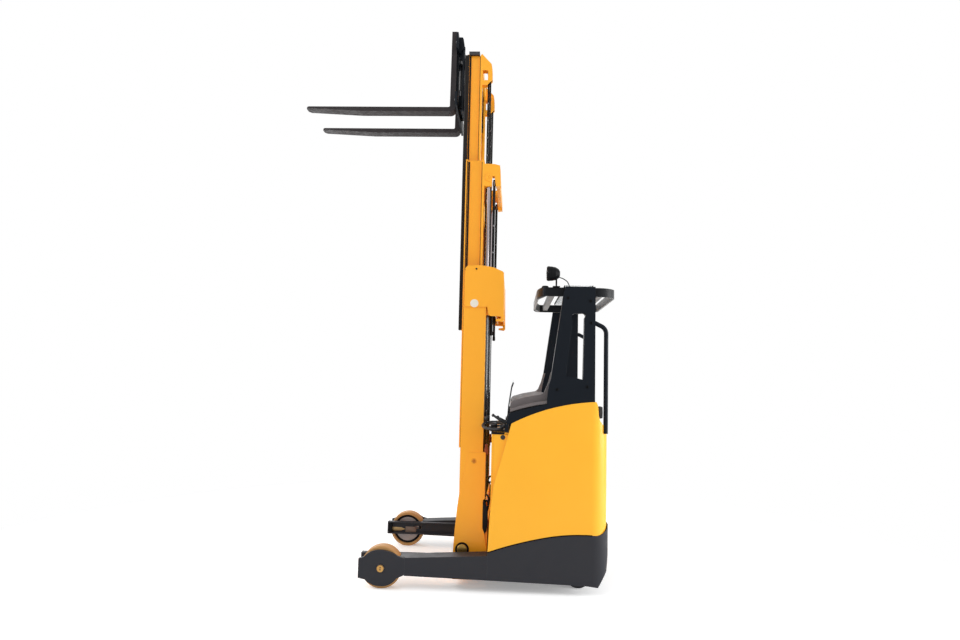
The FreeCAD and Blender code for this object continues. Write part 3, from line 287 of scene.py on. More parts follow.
# End plate of the reach rail, browned by its rollers, and the bronze strip before it.
WEAR_STRIP = Finish("browned_rail_plate", "roller_steel", "7A685D", "665346", 0.5, metallic=0.3,
                    patch_mm=70.0, edge_mm=0.5)
STRIP_BRONZE = Finish("rubbed_bronze_strip", "roller_steel", "B59A6A", "9A8058", 0.4, metallic=0.6,
                      patch_mm=50.0, edge_mm=0.4)
# Sand-cast centre of the load wheels, pale with dust.
WHEEL_CASTING = Finish("dusty_wheel_casting", "roller_steel", "ACA4A3", "8C8483", 0.5, metallic=0.4,
                       grain_mm=2.0, grain_depth_mm=0.1, patch_mm=50.0, edge_mm=0.5)
CHAIN_STEEL = Finish("oiled_leaf_chain", "roller_steel", "4A4440", "37322F", 0.4, metallic=0.8,
                     patch_mm=40.0, edge_mm=0.3)
CHROME_ROD = Finish("hard_chrome_rod", "chrome_rod", "8F8788", "857C7E", 0.14, metallic=1.0, grain_mm=60.0,
                    grain_depth_mm=0.01, edge_mm=1.0)
CYLINDER_BLACK = Finish("cylinder_gloss_enamel", "cylinder_black", "17181B", "101114", 0.25, coat=0.4,
                        edge_colour="3A3B40")
GREY_IRON = Finish("grey_iron_casting", "grey_iron", "4A4C50", "3D3F43", 0.6, metallic=0.3, grain_mm=3.0,
                   grain_depth_mm=0.3, patch_mm=90.0, edge_colour="6E7074")
AXLE_BRASS = Finish("zinc_yellow_passivated_steel", "axle_brass", "D3A560", "B98C48", 0.4, metallic=0.6,
                    patch_mm=30.0, edge_colour="EBC98A")
PIN_BRONZE = Finish("oiled_bronze_pin", "axle_brass", "B08A45", "6E5A2C", 0.3, metallic=0.8, patch_mm=30.0,
                    edge_mm=0.6)
# Cast polyurethane tread: waxy amber, scuffed by the floor.
TREAD_URETHANE = Finish("polyurethane_tread", "tread_urethane", "C49763", "B58752", 0.6, shine=0.3,
                        patch_mm=60.0, grain_mm=3.0, grain_depth_mm=0.1, edge_mm=3.0, edge_colour="D9A66B")
CONSOLE_GREY = Finish("console_grained_abs", "grey_plastic", "6A6363", "625B5B", 0.55, grain_mm=1.2,
                      grain_depth_mm=0.15, edge_mm=5.0, edge_colour="8C8583")
MOULDED_BLACK = Finish("moulded_black_plastic", "black_plastic", "202226", "191B1E", 0.5, grain_mm=1.2,
                       grain_depth_mm=0.1, edge_mm=3.0, edge_colour="3C3E42")
LAMP_BLACK = Finish("lamp_housing_moulding", "black_plastic", "08090B", "060709", 0.45, shine=0.12,
                    grain_mm=1.2, edge_colour="1C1E22")
PLUG_BROWN = Finish("red_brown_nylon_plug", "black_plastic", "8E4527", "7C3A20", 0.5, shine=0.3,
                    edge_colour="A35C3C")
DISPLAY_GLASS = Finish("dark_display_glass", "black_plastic", "0E1114", "0B0D10", 0.12, coat=0.6, edge_mm=0.5)
# Self-skinned polyurethane foam: leather grain, soft low shine.
PAD_FOAM = Finish("self_skinned_foam", "black_plastic", "1D1E20", "171819", 0.6, grain_mm=1.8,
                  grain_depth_mm=0.25, edge_mm=0.5)
BATTERY_GREY = Finish("battery_case_coat", "battery_case", "4B4D51", "434549", 0.5, edge_colour="6C6E72")
MAT_RUBBER = Finish("ribbed_floor_rubber", "rubber_mat", "131315", "0E0E10", 0.8, shine=0.2, grain_mm=1.0,
                    grain_depth_mm=0.2)
# Cover of the hydraulic hoses: matt, faintly cloth-marked.
HOSE_RUBBER = Finish("braided_hose_cover", "rubber_mat", "111113", "0C0C0D", 0.65, shine=0.2, grain_mm=1.5,
                     grain_depth_mm=0.15, edge_mm=0.5)
# Black cord in the joints of the side panels, standing for the painted shade of the gap; dull and deep black.
GAP_SHADE_CORD = Finish("black_cord_for_gap_shade", "rubber_mat", "040405", "030304", 0.8, shine=0.05, grain_mm=1.0,
                    edge_mm=0.5)
LABEL_WHITE = Finish("blank_vinyl_label", "mast_orange", "E9E4D6", "DFD9C9", 0.45, edge_mm=0.3)
SCREEN_CLEAR = ClearSheet("clear_polycarbonate", "clear_sheet", "E8F0F2", "DCE6E8", 0.08, patch_mm=200.0)
LAMP_GLASS = ClearSheet("pressed_lamp_glass", "clear_sheet", "F4F6F2", "E9EDE8", 0.1, patch_mm=40.0)

# What the CAD nodes carry: one finish for each slot, and three nodes with a finish of their own.
SLOT_FINISHES = {finish.slot: finish for finish in (
    CHASSIS_ANTHRACITE, PANEL_YELLOW, MAST_ORANGE, GUARD_BLACK, FORK_STEEL, ROLLER_STEEL, CHROME_ROD,
    CYLINDER_BLACK, TREAD_URETHANE, AXLE_BRASS, CONSOLE_GREY, MOULDED_BLACK, SCREEN_CLEAR, BATTERY_GREY,
    MAT_RUBBER, GREY_IRON)}
NODE_FINISHES = {"guard_ring": HOOP_BLACK, "work_lamp": LAMP_BLACK, "foot_bosses": BLACKED_STEEL}


# ------------------------------------------------------------------ shapes
class Side(Enum):
    """The two sides of the truck, by the sign of Y."""

    NEAR = -1
    FAR = 1

    @property
    def label(self) -> str:
        """The side's part of a piece's name."""
        return self.name.lower()

    @property
    def out(self) -> Vector:
        """Direction away from the truck's middle."""
        return Vector((0, self.value, 0))


@dataclass(frozen=True)
class Span:
    """The box of a CAD node at rest, in metres."""

    low: Vector
    high: Vector

    @classmethod
    def of(cls, node: str) -> "Span":
        """Read the box of a CAD node."""
        low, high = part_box(node)
        return cls(Vector(low), Vector(high))

    def at(self, along_x: float, along_y: float, along_z: float) -> Vector:
        """A point given by its shares of the box's three sides."""
        share = Vector((along_x, along_y, along_z))
        return Vector(low + (high - low) * part for low, high, part in zip(self.low, self.high, share))

    def outer(self, side: Side) -> float:
        """Y of the box's end on one side of the truck."""
        return self.low.y if side is Side.NEAR else self.high.y

    def on_end(self, side: Side, along_x: float, along_z: float) -> Vector:
        """A point on that end, by its shares of length and height."""
        return self.at(along_x, 0.0 if side is Side.NEAR else 1.0, along_z)

    @property
    def size(self) -> Vector:
        """Lengths of the box's sides."""
        return self.high - self.low


def add_piece(name: str, mesh: Mesh, finish: Finish, body: str,
              smooth_deg: float = 32.0) -> bpy.types.Object:
    """Link a mesh as a finished piece that rides on a body.

    Args:
        name: The piece's name.
        mesh: The piece's mesh, already in its place.
        finish: The finish it carries on every material slot.
        body: The CAD body it moves with.
        smooth_deg: Faces that meet at less than this angle are shaded as one surface.

    Returns:
        The linked object.
    """
    mesh.name = name
    mesh.shade_smooth()
    mesh.set_sharp_from_angle(angle=math.radians(smooth_deg))
    obj = bpy.data.objects.new(name, mesh)
    bpy.context.scene.collection.objects.link(obj)
    finish.dress(obj)
    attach(obj, body)
    log.info("%s: %d faces on %s", name, len(mesh.polygons), body)
    return obj


class Shaper:
    """Collects solid shapes in one mesh."""

    def __init__(self) -> None:
        """Start with an empty mesh."""
        self.bm = bmesh.new()

    def soften(self, verts: Iterable[bmesh.types.BMVert], bevel: float, steps: int) -> None:
        """Round the edges at some vertices."""
        edges = list({edge for vert in verts for edge in vert.link_edges})
        bmesh.ops.bevel(self.bm, geom=edges, offset=bevel, segments=steps, affect="EDGES", profile=0.5)

    def block(self, one: Point, two: Point, bevel: float = 0.002, steps: int = 2) -> None:
        """Add a block with rounded edges between two opposite corners."""
        made = bmesh.ops.create_cube(self.bm, size=1.0)["verts"]
        centre = (Vector(one) + Vector(two)) / 2
        size = [abs(length) for length in Vector(two) - Vector(one)]
        for vert in made:
            vert.co = Vector(a * b for a, b in zip(vert.co, size)) + centre
        self.soften(made, min(bevel, min(size) * 0.45), steps)

    def lathe(self, profile: Profile, centre: Vector, axis: Vector, steps: int = 32) -> None:
        """Turn a profile about an axis.

        Args:
            profile: Radius and place along the axis, from one end to the other; a ring's
                profile ends where it starts.
            centre: Where the place along the axis is 0.
            axis: Direction of the axis.
            steps: Sides of the turned shape.
        """
        axis = axis.normalized()
        across = axis.orthogonal().normalized()
        other = axis.cross(across)
        closed = profile[0] == profile[-1]
        rings = []
        for radius, place in profile[:-1] if closed else profile:
            foot = centre + axis * place
            if radius < 1e-6:
                rings.append([self.bm.verts.new(foot)])
                continue
            rings.append([self.bm.verts.new(
                foot + (across * math.cos(2 * math.pi * k / steps)
                        + other * math.sin(2 * math.pi * k / steps)) * radius) for k in range(steps)])
        for one, two in zip(rings, rings[1:] + rings[:1] if closed else rings[1:]):
            for k in range(steps):
                nxt = (k + 1) % steps
                corners = [one[k % len(one)], one[nxt % len(one)], two[nxt % len(two)], two[k % len(two)]]
                corners = list(dict.fromkeys(corners))
                if len(corners) > 2:
                    self.bm.faces.new(corners)
        for ring in () if closed else (rings[0], rings[-1]):
            if len(ring) > 2:
                self.bm.faces.new(ring)

    def slab(self, points: list[Vector], depth: Vector, bevel: float = 0.001) -> None:
        """Push a flat outline along a vector and round its edges."""
        base = [self.bm.verts.new(point) for point in points]
        top = [self.bm.verts.new(point + depth) for point in points]
        self.bm.faces.new(base)
        self.bm.faces.new(list(reversed(top)))
        count = len(points)
        for k in range(count):
            self.bm.faces.new([base[k], top[k], top[(k + 1) % count], base[(k + 1) % count]])
        self.soften(base + top, bevel, 2)

    def hose(self, points: list[Vector], radius: float, sides: int = 4) -> None:
        """Add a round hose along a smooth curve.

        Args:
            points: Control points of the curve.
            radius: Radius of the hose.
            sides: Bevel resolution; the hose gets about four times as many sides.
        """
        curve = bpy.data.curves.new("hose", "CURVE")
        curve.dimensions = "3D"
        curve.bevel_depth = radius
        curve.bevel_resolution = sides
        curve.use_fill_caps = True
        spline = curve.splines.new("NURBS")
        spline.points.add(len(points) - 1)
        for slot, point in zip(spline.points, points):
            slot.co = (*point, 1.0)
        spline.order_u = 3
        spline.use_endpoint_u = True
        spline.resolution_u = 8
        holder = bpy.data.objects.new("hose", curve)
        bpy.context.scene.collection.objects.link(holder)
        graph = bpy.context.evaluated_depsgraph_get()
        mesh = bpy.data.meshes.new_from_object(holder.evaluated_get(graph))
        bpy.data.objects.remove(holder)
        bpy.data.curves.remove(curve)
        self.bm.from_mesh(mesh)
        bpy.data.meshes.remove(mesh)

    def straight_hose(self, x: float, y: float, low: float, high: float, radius: float) -> None:
        """Add a hose that hangs straight between two heights."""
        self.hose([Vector((x, y, low)), Vector((x, y, high))], radius, 5)

    def piece(self, name: str, finish: Finish, body: str = "chassis",
              smooth_deg: float = 32.0) -> bpy.types.Object:
        """Turn the faces outwards and link the work as a piece."""
        bmesh.ops.recalc_face_normals(self.bm, faces=self.bm.faces)
        mesh = bpy.data.meshes.new("shape")
        self.bm.to_mesh(mesh)
        self.bm.free()
        return add_piece(name, mesh, finish, body, smooth_deg)


# ------------------------------------------------------------------ repeated parts
class RepeatTree:
    """A node tree that makes repeated parts, with its sizes as named inputs."""

    def __init__(self, name: str, inputs: dict[str, float | int]) -> None:
        """Start the tree with its interface.

        Args:
            name: Name of the tree.
            inputs: Named sizes with their defaults; whole numbers become integer inputs.
        """
        self.tree = bpy.data.node_groups.new(name, "GeometryNodeTree")
        face = self.tree.interface
        face.new_socket("Geometry", in_out="INPUT", socket_type="NodeSocketGeometry")
        for label, value in inputs.items():
            kind = "NodeSocketInt" if isinstance(value, int) else "NodeSocketFloat"
            face.new_socket(label, in_out="INPUT", socket_type=kind).default_value = value
        face.new_socket("Geometry", in_out="OUTPUT", socket_type="NodeSocketGeometry")
        self.source = self.add("NodeGroupInput")

    def add(self, kind: str, links: Links | None = None, **settings: object) -> bpy.types.Node:
        """Add one node with its inputs and its settings."""
        return add_node(self.tree, kind, links, **settings)

    def size(self, label: str) -> Socket:
        """The output of a named input."""
        return self.source.outputs[label]

    def times(self, one: object, two: object) -> Socket:
        """The product of two numbers."""
        return self.add("ShaderNodeMath", {0: one, 1: two}, operation="MULTIPLY").outputs[0]

    def repeat(self, points: Socket, part: Socket, turn: dict[str, Socket], material: Material) -> None:
        """End the tree with real copies of a part on points.

        Args:
            points: Where the copies stand.
            part: The part that is copied.
            turn: The copies' rotation, by the name of its input, or nothing.
            material: What the copies are made of.
        """
        copies = self.add("GeometryNodeInstanceOnPoints", {"Points": points, "Instance": part, **turn})
        real = self.add("GeometryNodeRealizeInstances", {0: copies.outputs[0]})
        painted = self.add("GeometryNodeSetMaterial", {"Geometry": real.outputs[0], "Material": material})
        self.add("NodeGroupOutput", {"Geometry": painted.outputs[0]})

    def run(self, mesh: Mesh, values: dict[str, float | int]) -> Mesh:
        """Apply the tree to a mesh and return the plain result.

        Args:
            mesh: What the tree works on.
            values: Sizes that differ from the defaults, by name.

        Returns:
            The evaluated mesh.
        """
        holder = bpy.data.objects.new("repeat", mesh)
        bpy.context.scene.collection.objects.link(holder)
        modifier = holder.modifiers.new("repeat", "NODES")
        modifier.node_group = self.tree
        for item in self.tree.interface.items_tree:
            if item.in_out == "INPUT" and item.name in values:
                modifier[item.identifier] = values[item.name]
        graph = bpy.context.evaluated_depsgraph_get()
        result = bpy.data.meshes.new_from_object(holder.evaluated_get(graph))
        holder.modifiers.remove(modifier)
        bpy.data.objects.remove(holder)
        bpy.data.meshes.remove(mesh)
        return result


def points_mesh(places: Places) -> Mesh:
    """Loose points, each with the direction that its part faces."""
    mesh = bpy.data.meshes.new("places")
    mesh.from_pydata([tuple(place) for place, _ in places], [], [])
    facing = mesh.attributes.new("facing", "FLOAT_VECTOR", "POINT")
    for k, (_, direction) in enumerate(places):
        facing.data[k].vector = direction
    return mesh


def screw_tree(material: Material) -> RepeatTree:
    """Socket-head screws: a turned head with a chamfer and a sunk drive.

    Args:
        material: The screws' material.

    Returns:
        The tree; it puts a screw on every point, along the point's facing.
    """
    made = RepeatTree("screw_heads", {
        "Head Radius": 0.008, "Head Height": 0.004, "Drive Share": 0.55, "Sides": 14, "Seed": 7})
    height = made.size("Head Height")
    head = made.add("GeometryNodeMeshCylinder", {
        "Vertices": made.size("Sides"), "Radius": made.size("Head Radius"), "Depth": height})
    rim = made.add("GeometryNodeExtrudeMesh", {
        "Mesh": head.outputs["Mesh"], "Selection": head.outputs["Top"],
        "Offset Scale": made.times(height, 0.2), "Individual": False})
    chamfer = made.add("GeometryNodeScaleElements", {
        "Geometry": rim.outputs["Mesh"], "Selection": rim.outputs["Top"], "Scale": 0.86})
    lip = made.add("GeometryNodeExtrudeMesh", {
        "Mesh": chamfer.outputs[0], "Selection": rim.outputs["Top"],
        "Offset Scale": 0.0, "Individual": False})
    drive = made.add("GeometryNodeScaleElements", {
        "Geometry": lip.outputs["Mesh"], "Selection": lip.outputs["Top"], "Scale": made.size("Drive Share")})
    sunk = made.add("GeometryNodeExtrudeMesh", {
        "Mesh": drive.outputs[0], "Selection": lip.outputs["Top"],
        "Offset Scale": made.times(height, -0.7), "Individual": False})
    facing = made.add("GeometryNodeInputNamedAttribute", {"Name": "facing"}, data_type="FLOAT_VECTOR")
    aim = made.add("FunctionNodeAlignRotationToVector", {"Vector": facing.outputs[0]}, axis="Z")
    chance = made.add("FunctionNodeRandomValue", {
        "Min": 0.0, "Max": 2 * math.pi, "Seed": made.size("Seed")}, data_type="FLOAT")
    spin = made.add("ShaderNodeCombineXYZ", {"Z": next(out for out in chance.outputs if out.enabled)})
    turn = made.add("FunctionNodeRotateRotation", {0: aim.outputs[0], 1: spin.outputs[0]},
                    rotation_space="LOCAL")
    spots = made.add("GeometryNodeMeshToPoints", {"Mesh": made.size("Geometry")})
    made.repeat(spots.outputs[0], sunk.outputs["Mesh"], {"Rotation": turn.outputs[0]}, material)
    return made


def chain_tree(material: Material) -> RepeatTree:
    """Leaf chain: plates and pins at an even pitch along a line.

    Args:
        material: The chain's material.

    Returns:
        The tree; it works on a mesh of edges that the chain follows.
    """
    made = RepeatTree("leaf_chain", {"Pitch": 0.0159, "Width": 0.016, "Plate": 0.0024, "Height": 0.008})
    plates = made.add("GeometryNodeJoinGeometry")
    for share in (-0.45, -0.15, 0.15, 0.45):
        size = made.add("ShaderNodeCombineXYZ", {
            "X": made.times(made.size("Pitch"), 1.02), "Y": made.size("Plate"), "Z": made.size("Height")})
        plate = made.add("GeometryNodeMeshCube", {"Size": size.outputs[0]})
        place = made.add("ShaderNodeCombineXYZ", {"Y": made.times(made.size("Width"), share)})
        moved = made.add("GeometryNodeTransform", {
            "Geometry": plate.outputs["Mesh"], "Translation": place.outputs[0]})
        made.tree.links.new(moved.outputs[0], plates.inputs[0])
    pin = made.add("GeometryNodeMeshCylinder", {
        "Vertices": 8, "Radius": made.times(made.size("Height"), 0.34),
        "Depth": made.times(made.size("Width"), 1.16)})
    laid = made.add("GeometryNodeTransform", {
        "Geometry": pin.outputs["Mesh"], "Rotation": (math.pi / 2, 0.0, 0.0)})
    made.tree.links.new(laid.outputs[0], plates.inputs[0])
    line = made.add("GeometryNodeMeshToCurve", {"Mesh": made.size("Geometry")})
    even = made.add("GeometryNodeResampleCurve", {
        "Curve": line.outputs[0], "Length": made.size("Pitch")}, mode="LENGTH")
    tangent = made.add("GeometryNodeInputTangent")
    lay = made.add("FunctionNodeAlignRotationToVector", {"Vector": tangent.outputs[0]},
                   axis="X", pivot_axis="Y")
    made.repeat(even.outputs[0], plates.outputs[0], {"Rotation": lay.outputs[0]}, material)
    return made


def rib_tree(material: Material) -> RepeatTree:
    """Straight ribs side by side on the floor mat.

    Args:
        material: The ribs' material.

    Returns:
        The tree; each point of its mesh carries one rib along Y.
    """
    made = RepeatTree("mat_ribs", {"Rib Width": 0.006, "Rib Height": 0.003, "Rib Length": 0.3})
    size = made.add("ShaderNodeCombineXYZ", {
        "X": made.size("Rib Width"), "Y": made.size("Rib Length"), "Z": made.size("Rib Height")})
    bar = made.add("GeometryNodeMeshCube", {"Size": size.outputs[0]})
    crest = made.add("GeometryNodeExtrudeMesh", {
        "Mesh": bar.outputs["Mesh"], "Offset Scale": made.times(made.size("Rib Height"), 0.15)})
    spots = made.add("GeometryNodeMeshToPoints", {"Mesh": made.size("Geometry")})
    made.repeat(spots.outputs[0], crest.outputs["Mesh"], {}, material)
    return made


def lay_screws(name: str, body: str, places: Places, finish: Finish, radius: float, height: float,
               drive_share: float = 0.55, smooth_deg: float = 32.0) -> None:
    """Make one group of screws.

    Args:
        name: Name of the piece.
        body: Body that the screws ride on.
        places: Middle and facing of each head.
        finish: The screws' finish.
        radius: Radius of the heads.
        height: Height of the heads.
        drive_share: Width of the sunk drive, as a share of the head's.
        smooth_deg: Faces that meet at less than this angle are shaded as one surface.
    """
    sizes = {"Head Radius": radius, "Head Height": height, "Drive Share": drive_share}
    add_piece(name, screw_tree(finish.material()).run(points_mesh(places), sizes), finish, body, smooth_deg)


# ------------------------------------------------------------------ sub-assemblies
@dataclass
class Fasteners:
    """Screws of the guard, the covers, the hood and the fork plate."""

    lift_share: float = 0.4
    post_spots: tuple = ((0.690, 0.920), (0.942, 0.901), (0.950, 0.751), (0.579, 0.295), (0.912, 0.316))

    def lay(self, name: str, body: str, feet: Places, finish: Finish, radius: float, height: float) -> None:
        """Make one group of screws from the feet of their heads."""
        lifted = [(foot + facing * height * self.lift_share, facing) for foot, facing in feet]
        lay_screws(name, body, lifted, finish, radius, height, smooth_deg=30.0)

    def build(self) -> None:
        """Make every group."""
        roof = Span.of("roof_plate")
        lid = Span.of("battery_lid")
        hood = Span.of("mast_hood")
        plate = Span.of("fork_carriage")
        for side in Side:
            post = Span.of(f"post_{side.label}")
            feet = [(post.on_end(side, x, z), side.out) for x, z in self.post_spots]
            self.lay(f"post_screws_{side.label}", "chassis", feet, BLACKED_STEEL, 0.010, 0.005)
        feet = [(roof.at(x, y, 1.0), UP) for x in (0.08, 0.92) for y in (0.03, 0.25, 0.5, 0.75, 0.97)]
        feet += [(lid.at(x, y, 1.0), UP) for x in (0.08, 0.32) for y in (0.03, 0.35, 0.65, 0.97)]
        self.lay("cover_screws", "chassis", feet, ROLLER_STEEL, 0.006, 0.003)
        for side in Side:
            feet = [(hood.on_end(side, 0.285, 0.930), side.out)]
            self.lay(f"mast_bolts_{side.label}", "reach", feet, GUARD_BLACK, 0.007, 0.004)
        feet = [(plate.at(0.0, y, z), AHEAD) for y in (0.06, 0.43, 0.57, 0.94) for z in (0.09, 0.89)]
        self.lay("fork_plate_bolts", "forks", feet, ROLLER_STEEL, 0.011, 0.006)


@dataclass
class MastDetail:
    """What hangs on the mast: pins, bosses, hoses, glands, chains, and near-black strips and painted shade on
    the running tracks.
    """

    label_radius: float = 0.030
    boss_offset: Point = (0.178, 0.021, -0.141)
    socket_back: float = 0.121
    socket_up: float = 0.834
    hose_radius: float = 0.007
    hose_in: float = 0.020
    hose_pitch: float = 0.0155
    hose_routes: tuple = (
        ((-0.030, 0.175), (-0.020, 0.208), (0.000, 0.200), (0.008, 0.165), (0.003, 0.125), (-0.010, 0.080),
         (-0.010, 0.020)),
        ((-0.034, 0.130), (-0.016, 0.165), (0.004, 0.150), (0.002, 0.110), (-0.009, 0.070), (-0.004, 0.015)),
        ((-0.030, 0.150), (-0.022, 0.105), (-0.012, 0.060), (-0.012, 0.010)))
    guard_line: tuple = (
        (-0.035, 0.160), (-0.026, 0.172), (-0.016, 0.150), (0.002, 0.105), (-0.004, 0.060), (0.004, 0.010),
        (-0.004, -0.048), (-0.020, -0.066), (-0.034, -0.030))
    guard_in: float = 0.0068
    guard_thick: float = 0.0055
    plug_front: float = 0.034
    plug_up: float = 0.872
    plug_in: float = 0.008
    plug_deep: float = 0.052
    twin_gap: float = 0.0005
    inner_tail: float = 0.9
    middle_tail: float = 0.165
    stay_gap: float = 0.0035
    stay_low: float = 1.51
    stay_top: float = 0.10
    lift_rod: float = 0.016
    free_rod: float = 0.0232
    track_thick: float = 0.0005
    rail_flange: float = 0.016
    rail_recess: float = 0.024
    corner_front: float = 0.014
    corner_rear: float = 0.006
    front_track: float = 0.0185
    front_wide: float = 0.056
    chain_radius: float = 0.042
    chain_front: float = 0.10
    chain_rear: float = 0.86

    def foot_pins(self) -> None:
        """Bronze pins with a grease nipple inside the dark rings of the mast's foot."""
        ring = Span.of("foot_bosses")
        for side in Side:
            centre = ring.on_end(side, 0.5, 0.5)
            shape = Shaper()
            shape.lathe([(0.0, -0.002), (0.037, -0.002), (0.037, 0.0), (0.034, 0.0035), (0.026, 0.0060),
                         (0.015, 0.0075), (0.0, 0.008)], centre, side.out, 40)
            shape.lathe([(0.0, 0.0), (0.005, 0.0), (0.005, 0.005), (0.0025, 0.007), (0.0, 0.009)], centre,
                        side.out, 10)
            shape.piece(f"foot_pin_{side.label}", PIN_BRONZE, "reach")

    def label(self) -> None:
        """A blank round label on the hood's near plate."""
        shape = Shaper()
        shape.lathe([(0.0, 0.0), (self.label_radius, 0.0), (self.label_radius, 0.0004),
                     (self.label_radius - 0.001, 0.0007), (0.0, 0.0007)],
                    Span.of("mast_hood").at(0.25, 0.0, 0.32), Side.NEAR.out, 36)
        shape.piece("blank_label", LABEL_WHITE, "reach")

    def bosses(self) -> None:
        """Turned bosses on the middle heads and socket plugs on the foot's doublers."""
        middle = Span.of("middle_mast")
        hose = Span.of("middle_hoses")
        outer = Span.of("outer_mast")
        foot = Span.of("foot_bosses")
        back, wide, down = self.boss_offset
        for side in Side:
            shape = Shaper()
            spot = Vector((middle.low.x + back, hose.outer(side) + side.value * wide, middle.high.z + down))
            shape.lathe([(0.0, -0.001), (0.027, -0.001), (0.027, 0.004), (0.025, 0.006), (0.014, 0.006),
                         (0.013, 0.003), (0.0, 0.003)], spot, side.out, 36)
            shape.piece(f"head_boss_{side.label}", MAST_ORANGE, "middle_mast")
            plug = Shaper()
            spot = Vector((foot.low.x + self.socket_back, outer.outer(side), outer.low.z + self.socket_up))
            plug.lathe([(0.0, -0.001), (0.013, -0.001), (0.013, 0.0006), (0.0105, 0.0014), (0.0055, 0.0014),
                        (0.0050, 0.0002), (0.0, 0.0002)], spot, side.out, 30)
            plug.lathe([(0.0165, -0.0005), (0.0185, -0.0005), (0.0185, 0.0006), (0.0165, 0.0006),
                        (0.0165, -0.0005)], spot - side.out * 0.003, side.out, 30)
            plug.piece(f"foot_socket_{side.label}", SOCKET_AMBER, "reach")

    def foot_hoses(self) -> None:
        """Hoses that loop out behind each side of the mast's foot, their guard and their plug."""
        outer = Span.of("outer_mast")
        frame = Span.of("reach_frame")
        for side in Side:
            out = outer.outer(side)
            shape = Shaper()
            for k, route in enumerate(self.hose_routes):
                y = out - side.value * (self.hose_in + self.hose_pitch * k)
                shape.hose([Vector((frame.high.x + x, y, frame.high.z + z)) for x, z in route],
                           self.hose_radius)
            shape.piece(f"foot_hoses_{side.label}", HOSE_RUBBER, "reach")
            guard = Shaper()
            skin = out - side.value * self.guard_in
            line = [Vector((frame.high.x + x, skin, frame.high.z + z)) for x, z in self.guard_line]
            guard.slab(line, side.out * self.guard_thick, 0.0015)
            guard.piece(f"hose_guard_{side.label}", MAT_RUBBER, "reach")
            plug = Shaper()
            x0 = frame.high.x - self.plug_front
            z0 = outer.low.z + self.plug_up
            for x_low, x_high, z_low, z_high, slim, bevel in (
                    (0.0, 0.028, 0.010, 0.058, 0.0, 0.004), (0.004, 0.024, 0.054, 0.082, 0.004, 0.003),
                    (0.003, 0.016, -0.016, 0.014, 0.006, 0.003)):
                plug.block((x0 + x_low, out - side.value * (self.plug_in + slim), z0 + z_low),
                           (x0 + x_high, out - side.value * (self.plug_deep - slim), z0 + z_high), bevel)
            plug.piece(f"foot_plug_{side.label}", PLUG_BROWN, "reach")

    def hose_clips(self) -> None:
        """Steel clips and crimped ferrules on the hanging hoses of both upper stages."""
        for node, body, count in (("middle_hoses", "middle_mast", 3), ("inner_hoses", "inner_mast", 4)):
            box = Span.of(node)
            radius = box.size.x / 2
            ferrule = (0.97, 0.035, 0.0025)
            clips = [(0.25 + 0.6 * k / count, 0.012, 0.0018) for k in range(count)]
            for side in Side:
                y = box.outer(side) - side.value * radius
                shape = Shaper()
                for share, length, swell in [ferrule] + clips:
                    spot = box.at(0.5, 0, share)
                    shape.lathe([(radius - 0.001, -length / 2), (radius + swell * 0.5, -length / 2),
                                 (radius + swell, -length / 3), (radius + swell, length / 3),
                                 (radius + swell * 0.5, length / 2), (radius - 0.001, length / 2)],
                                Vector((spot.x, y, spot.z)), UP, 18)
                shape.piece(f"{node}_clips_{side.label}", ROLLER_STEEL, body)

    def hose_runs(self) -> None:
        """Second line and lower runs of the hanging hoses, with the runs that stay on the middle stage."""
        inner = Span.of("inner_hoses")
        middle = Span.of("middle_hoses")
        thin = inner.size.x / 2
        thick = middle.size.x / 2
        x = inner.at(0.5, 0, 0).x
        x_twin = x + 2 * thin + self.twin_gap
        x_tail = middle.at(0.5, 0, 0).x
        foot = inner.low.z - self.inner_tail
        end = middle.low.z - self.middle_tail
        for side in Side:
            y = inner.outer(side) - side.value * thin
            runs = Shaper()
            runs.straight_hose(x, y, foot, inner.low.z, thin)
            runs.straight_hose(x_twin, y, foot, inner.high.z, thin)
            runs.piece(f"inner_hose_runs_{side.label}", HOSE_RUBBER, "inner_mast")
            y_stay = y - side.value * (2 * thin + self.stay_gap)
            stay = Shaper()
            for x_line in (x, x_twin):
                stay.straight_hose(x_line, y_stay, inner.low.z - self.stay_low, inner.low.z - self.stay_top,
                                   thin)
            stay.piece(f"stay_hoses_{side.label}", HOSE_RUBBER, "middle_mast")
            y = middle.outer(side) - side.value * thick
            tail = Shaper()
            tail.straight_hose(x_tail, y, end, middle.low.z, thick)
            tail.lathe([(0.0, 0.0), (thick - 0.002, 0.0), (thick + 0.002, 0.004), (thick + 0.002, 0.030),
                        (thick - 0.001, 0.034)], Vector((x_tail, y, end - 0.004)), UP, 18)
            tail.piece(f"middle_hose_tail_{side.label}", HOSE_RUBBER, "middle_mast")

    def glands(self) -> None:
        """Screwed glands with wiper rings on the lift and free-lift barrels."""
        barrels = Span.of("lift_barrels")
        free = Span.of("free_lift_barrel")
        top = barrels.at(0.5, 0, 1)
        radius = barrels.size.x / 2
        spots = [(Vector((top.x, barrels.outer(side) - side.value * radius, top.z)), self.lift_rod, radius,
                  "reach") for side in Side]
        spots.append((Vector((free.at(0.5, 0, 0).x, 0.0, free.high.z)), self.free_rod, free.size.x / 2,
                      "inner_mast"))
        for k, (spot, rod, outer, body) in enumerate(spots):
            bore = rod + 0.0004
            shape = Shaper()
            shape.lathe([(bore, 0.0), (outer - 0.001, 0.0), (outer - 0.002, 0.004), (rod + 0.006, 0.0045),
                         (rod + 0.003, 0.009), (bore, 0.009), (bore, 0.0)], spot, UP, 28)
            shape.piece(f"wiper_ring_{k + 1}", ROLLER_STEEL, body)

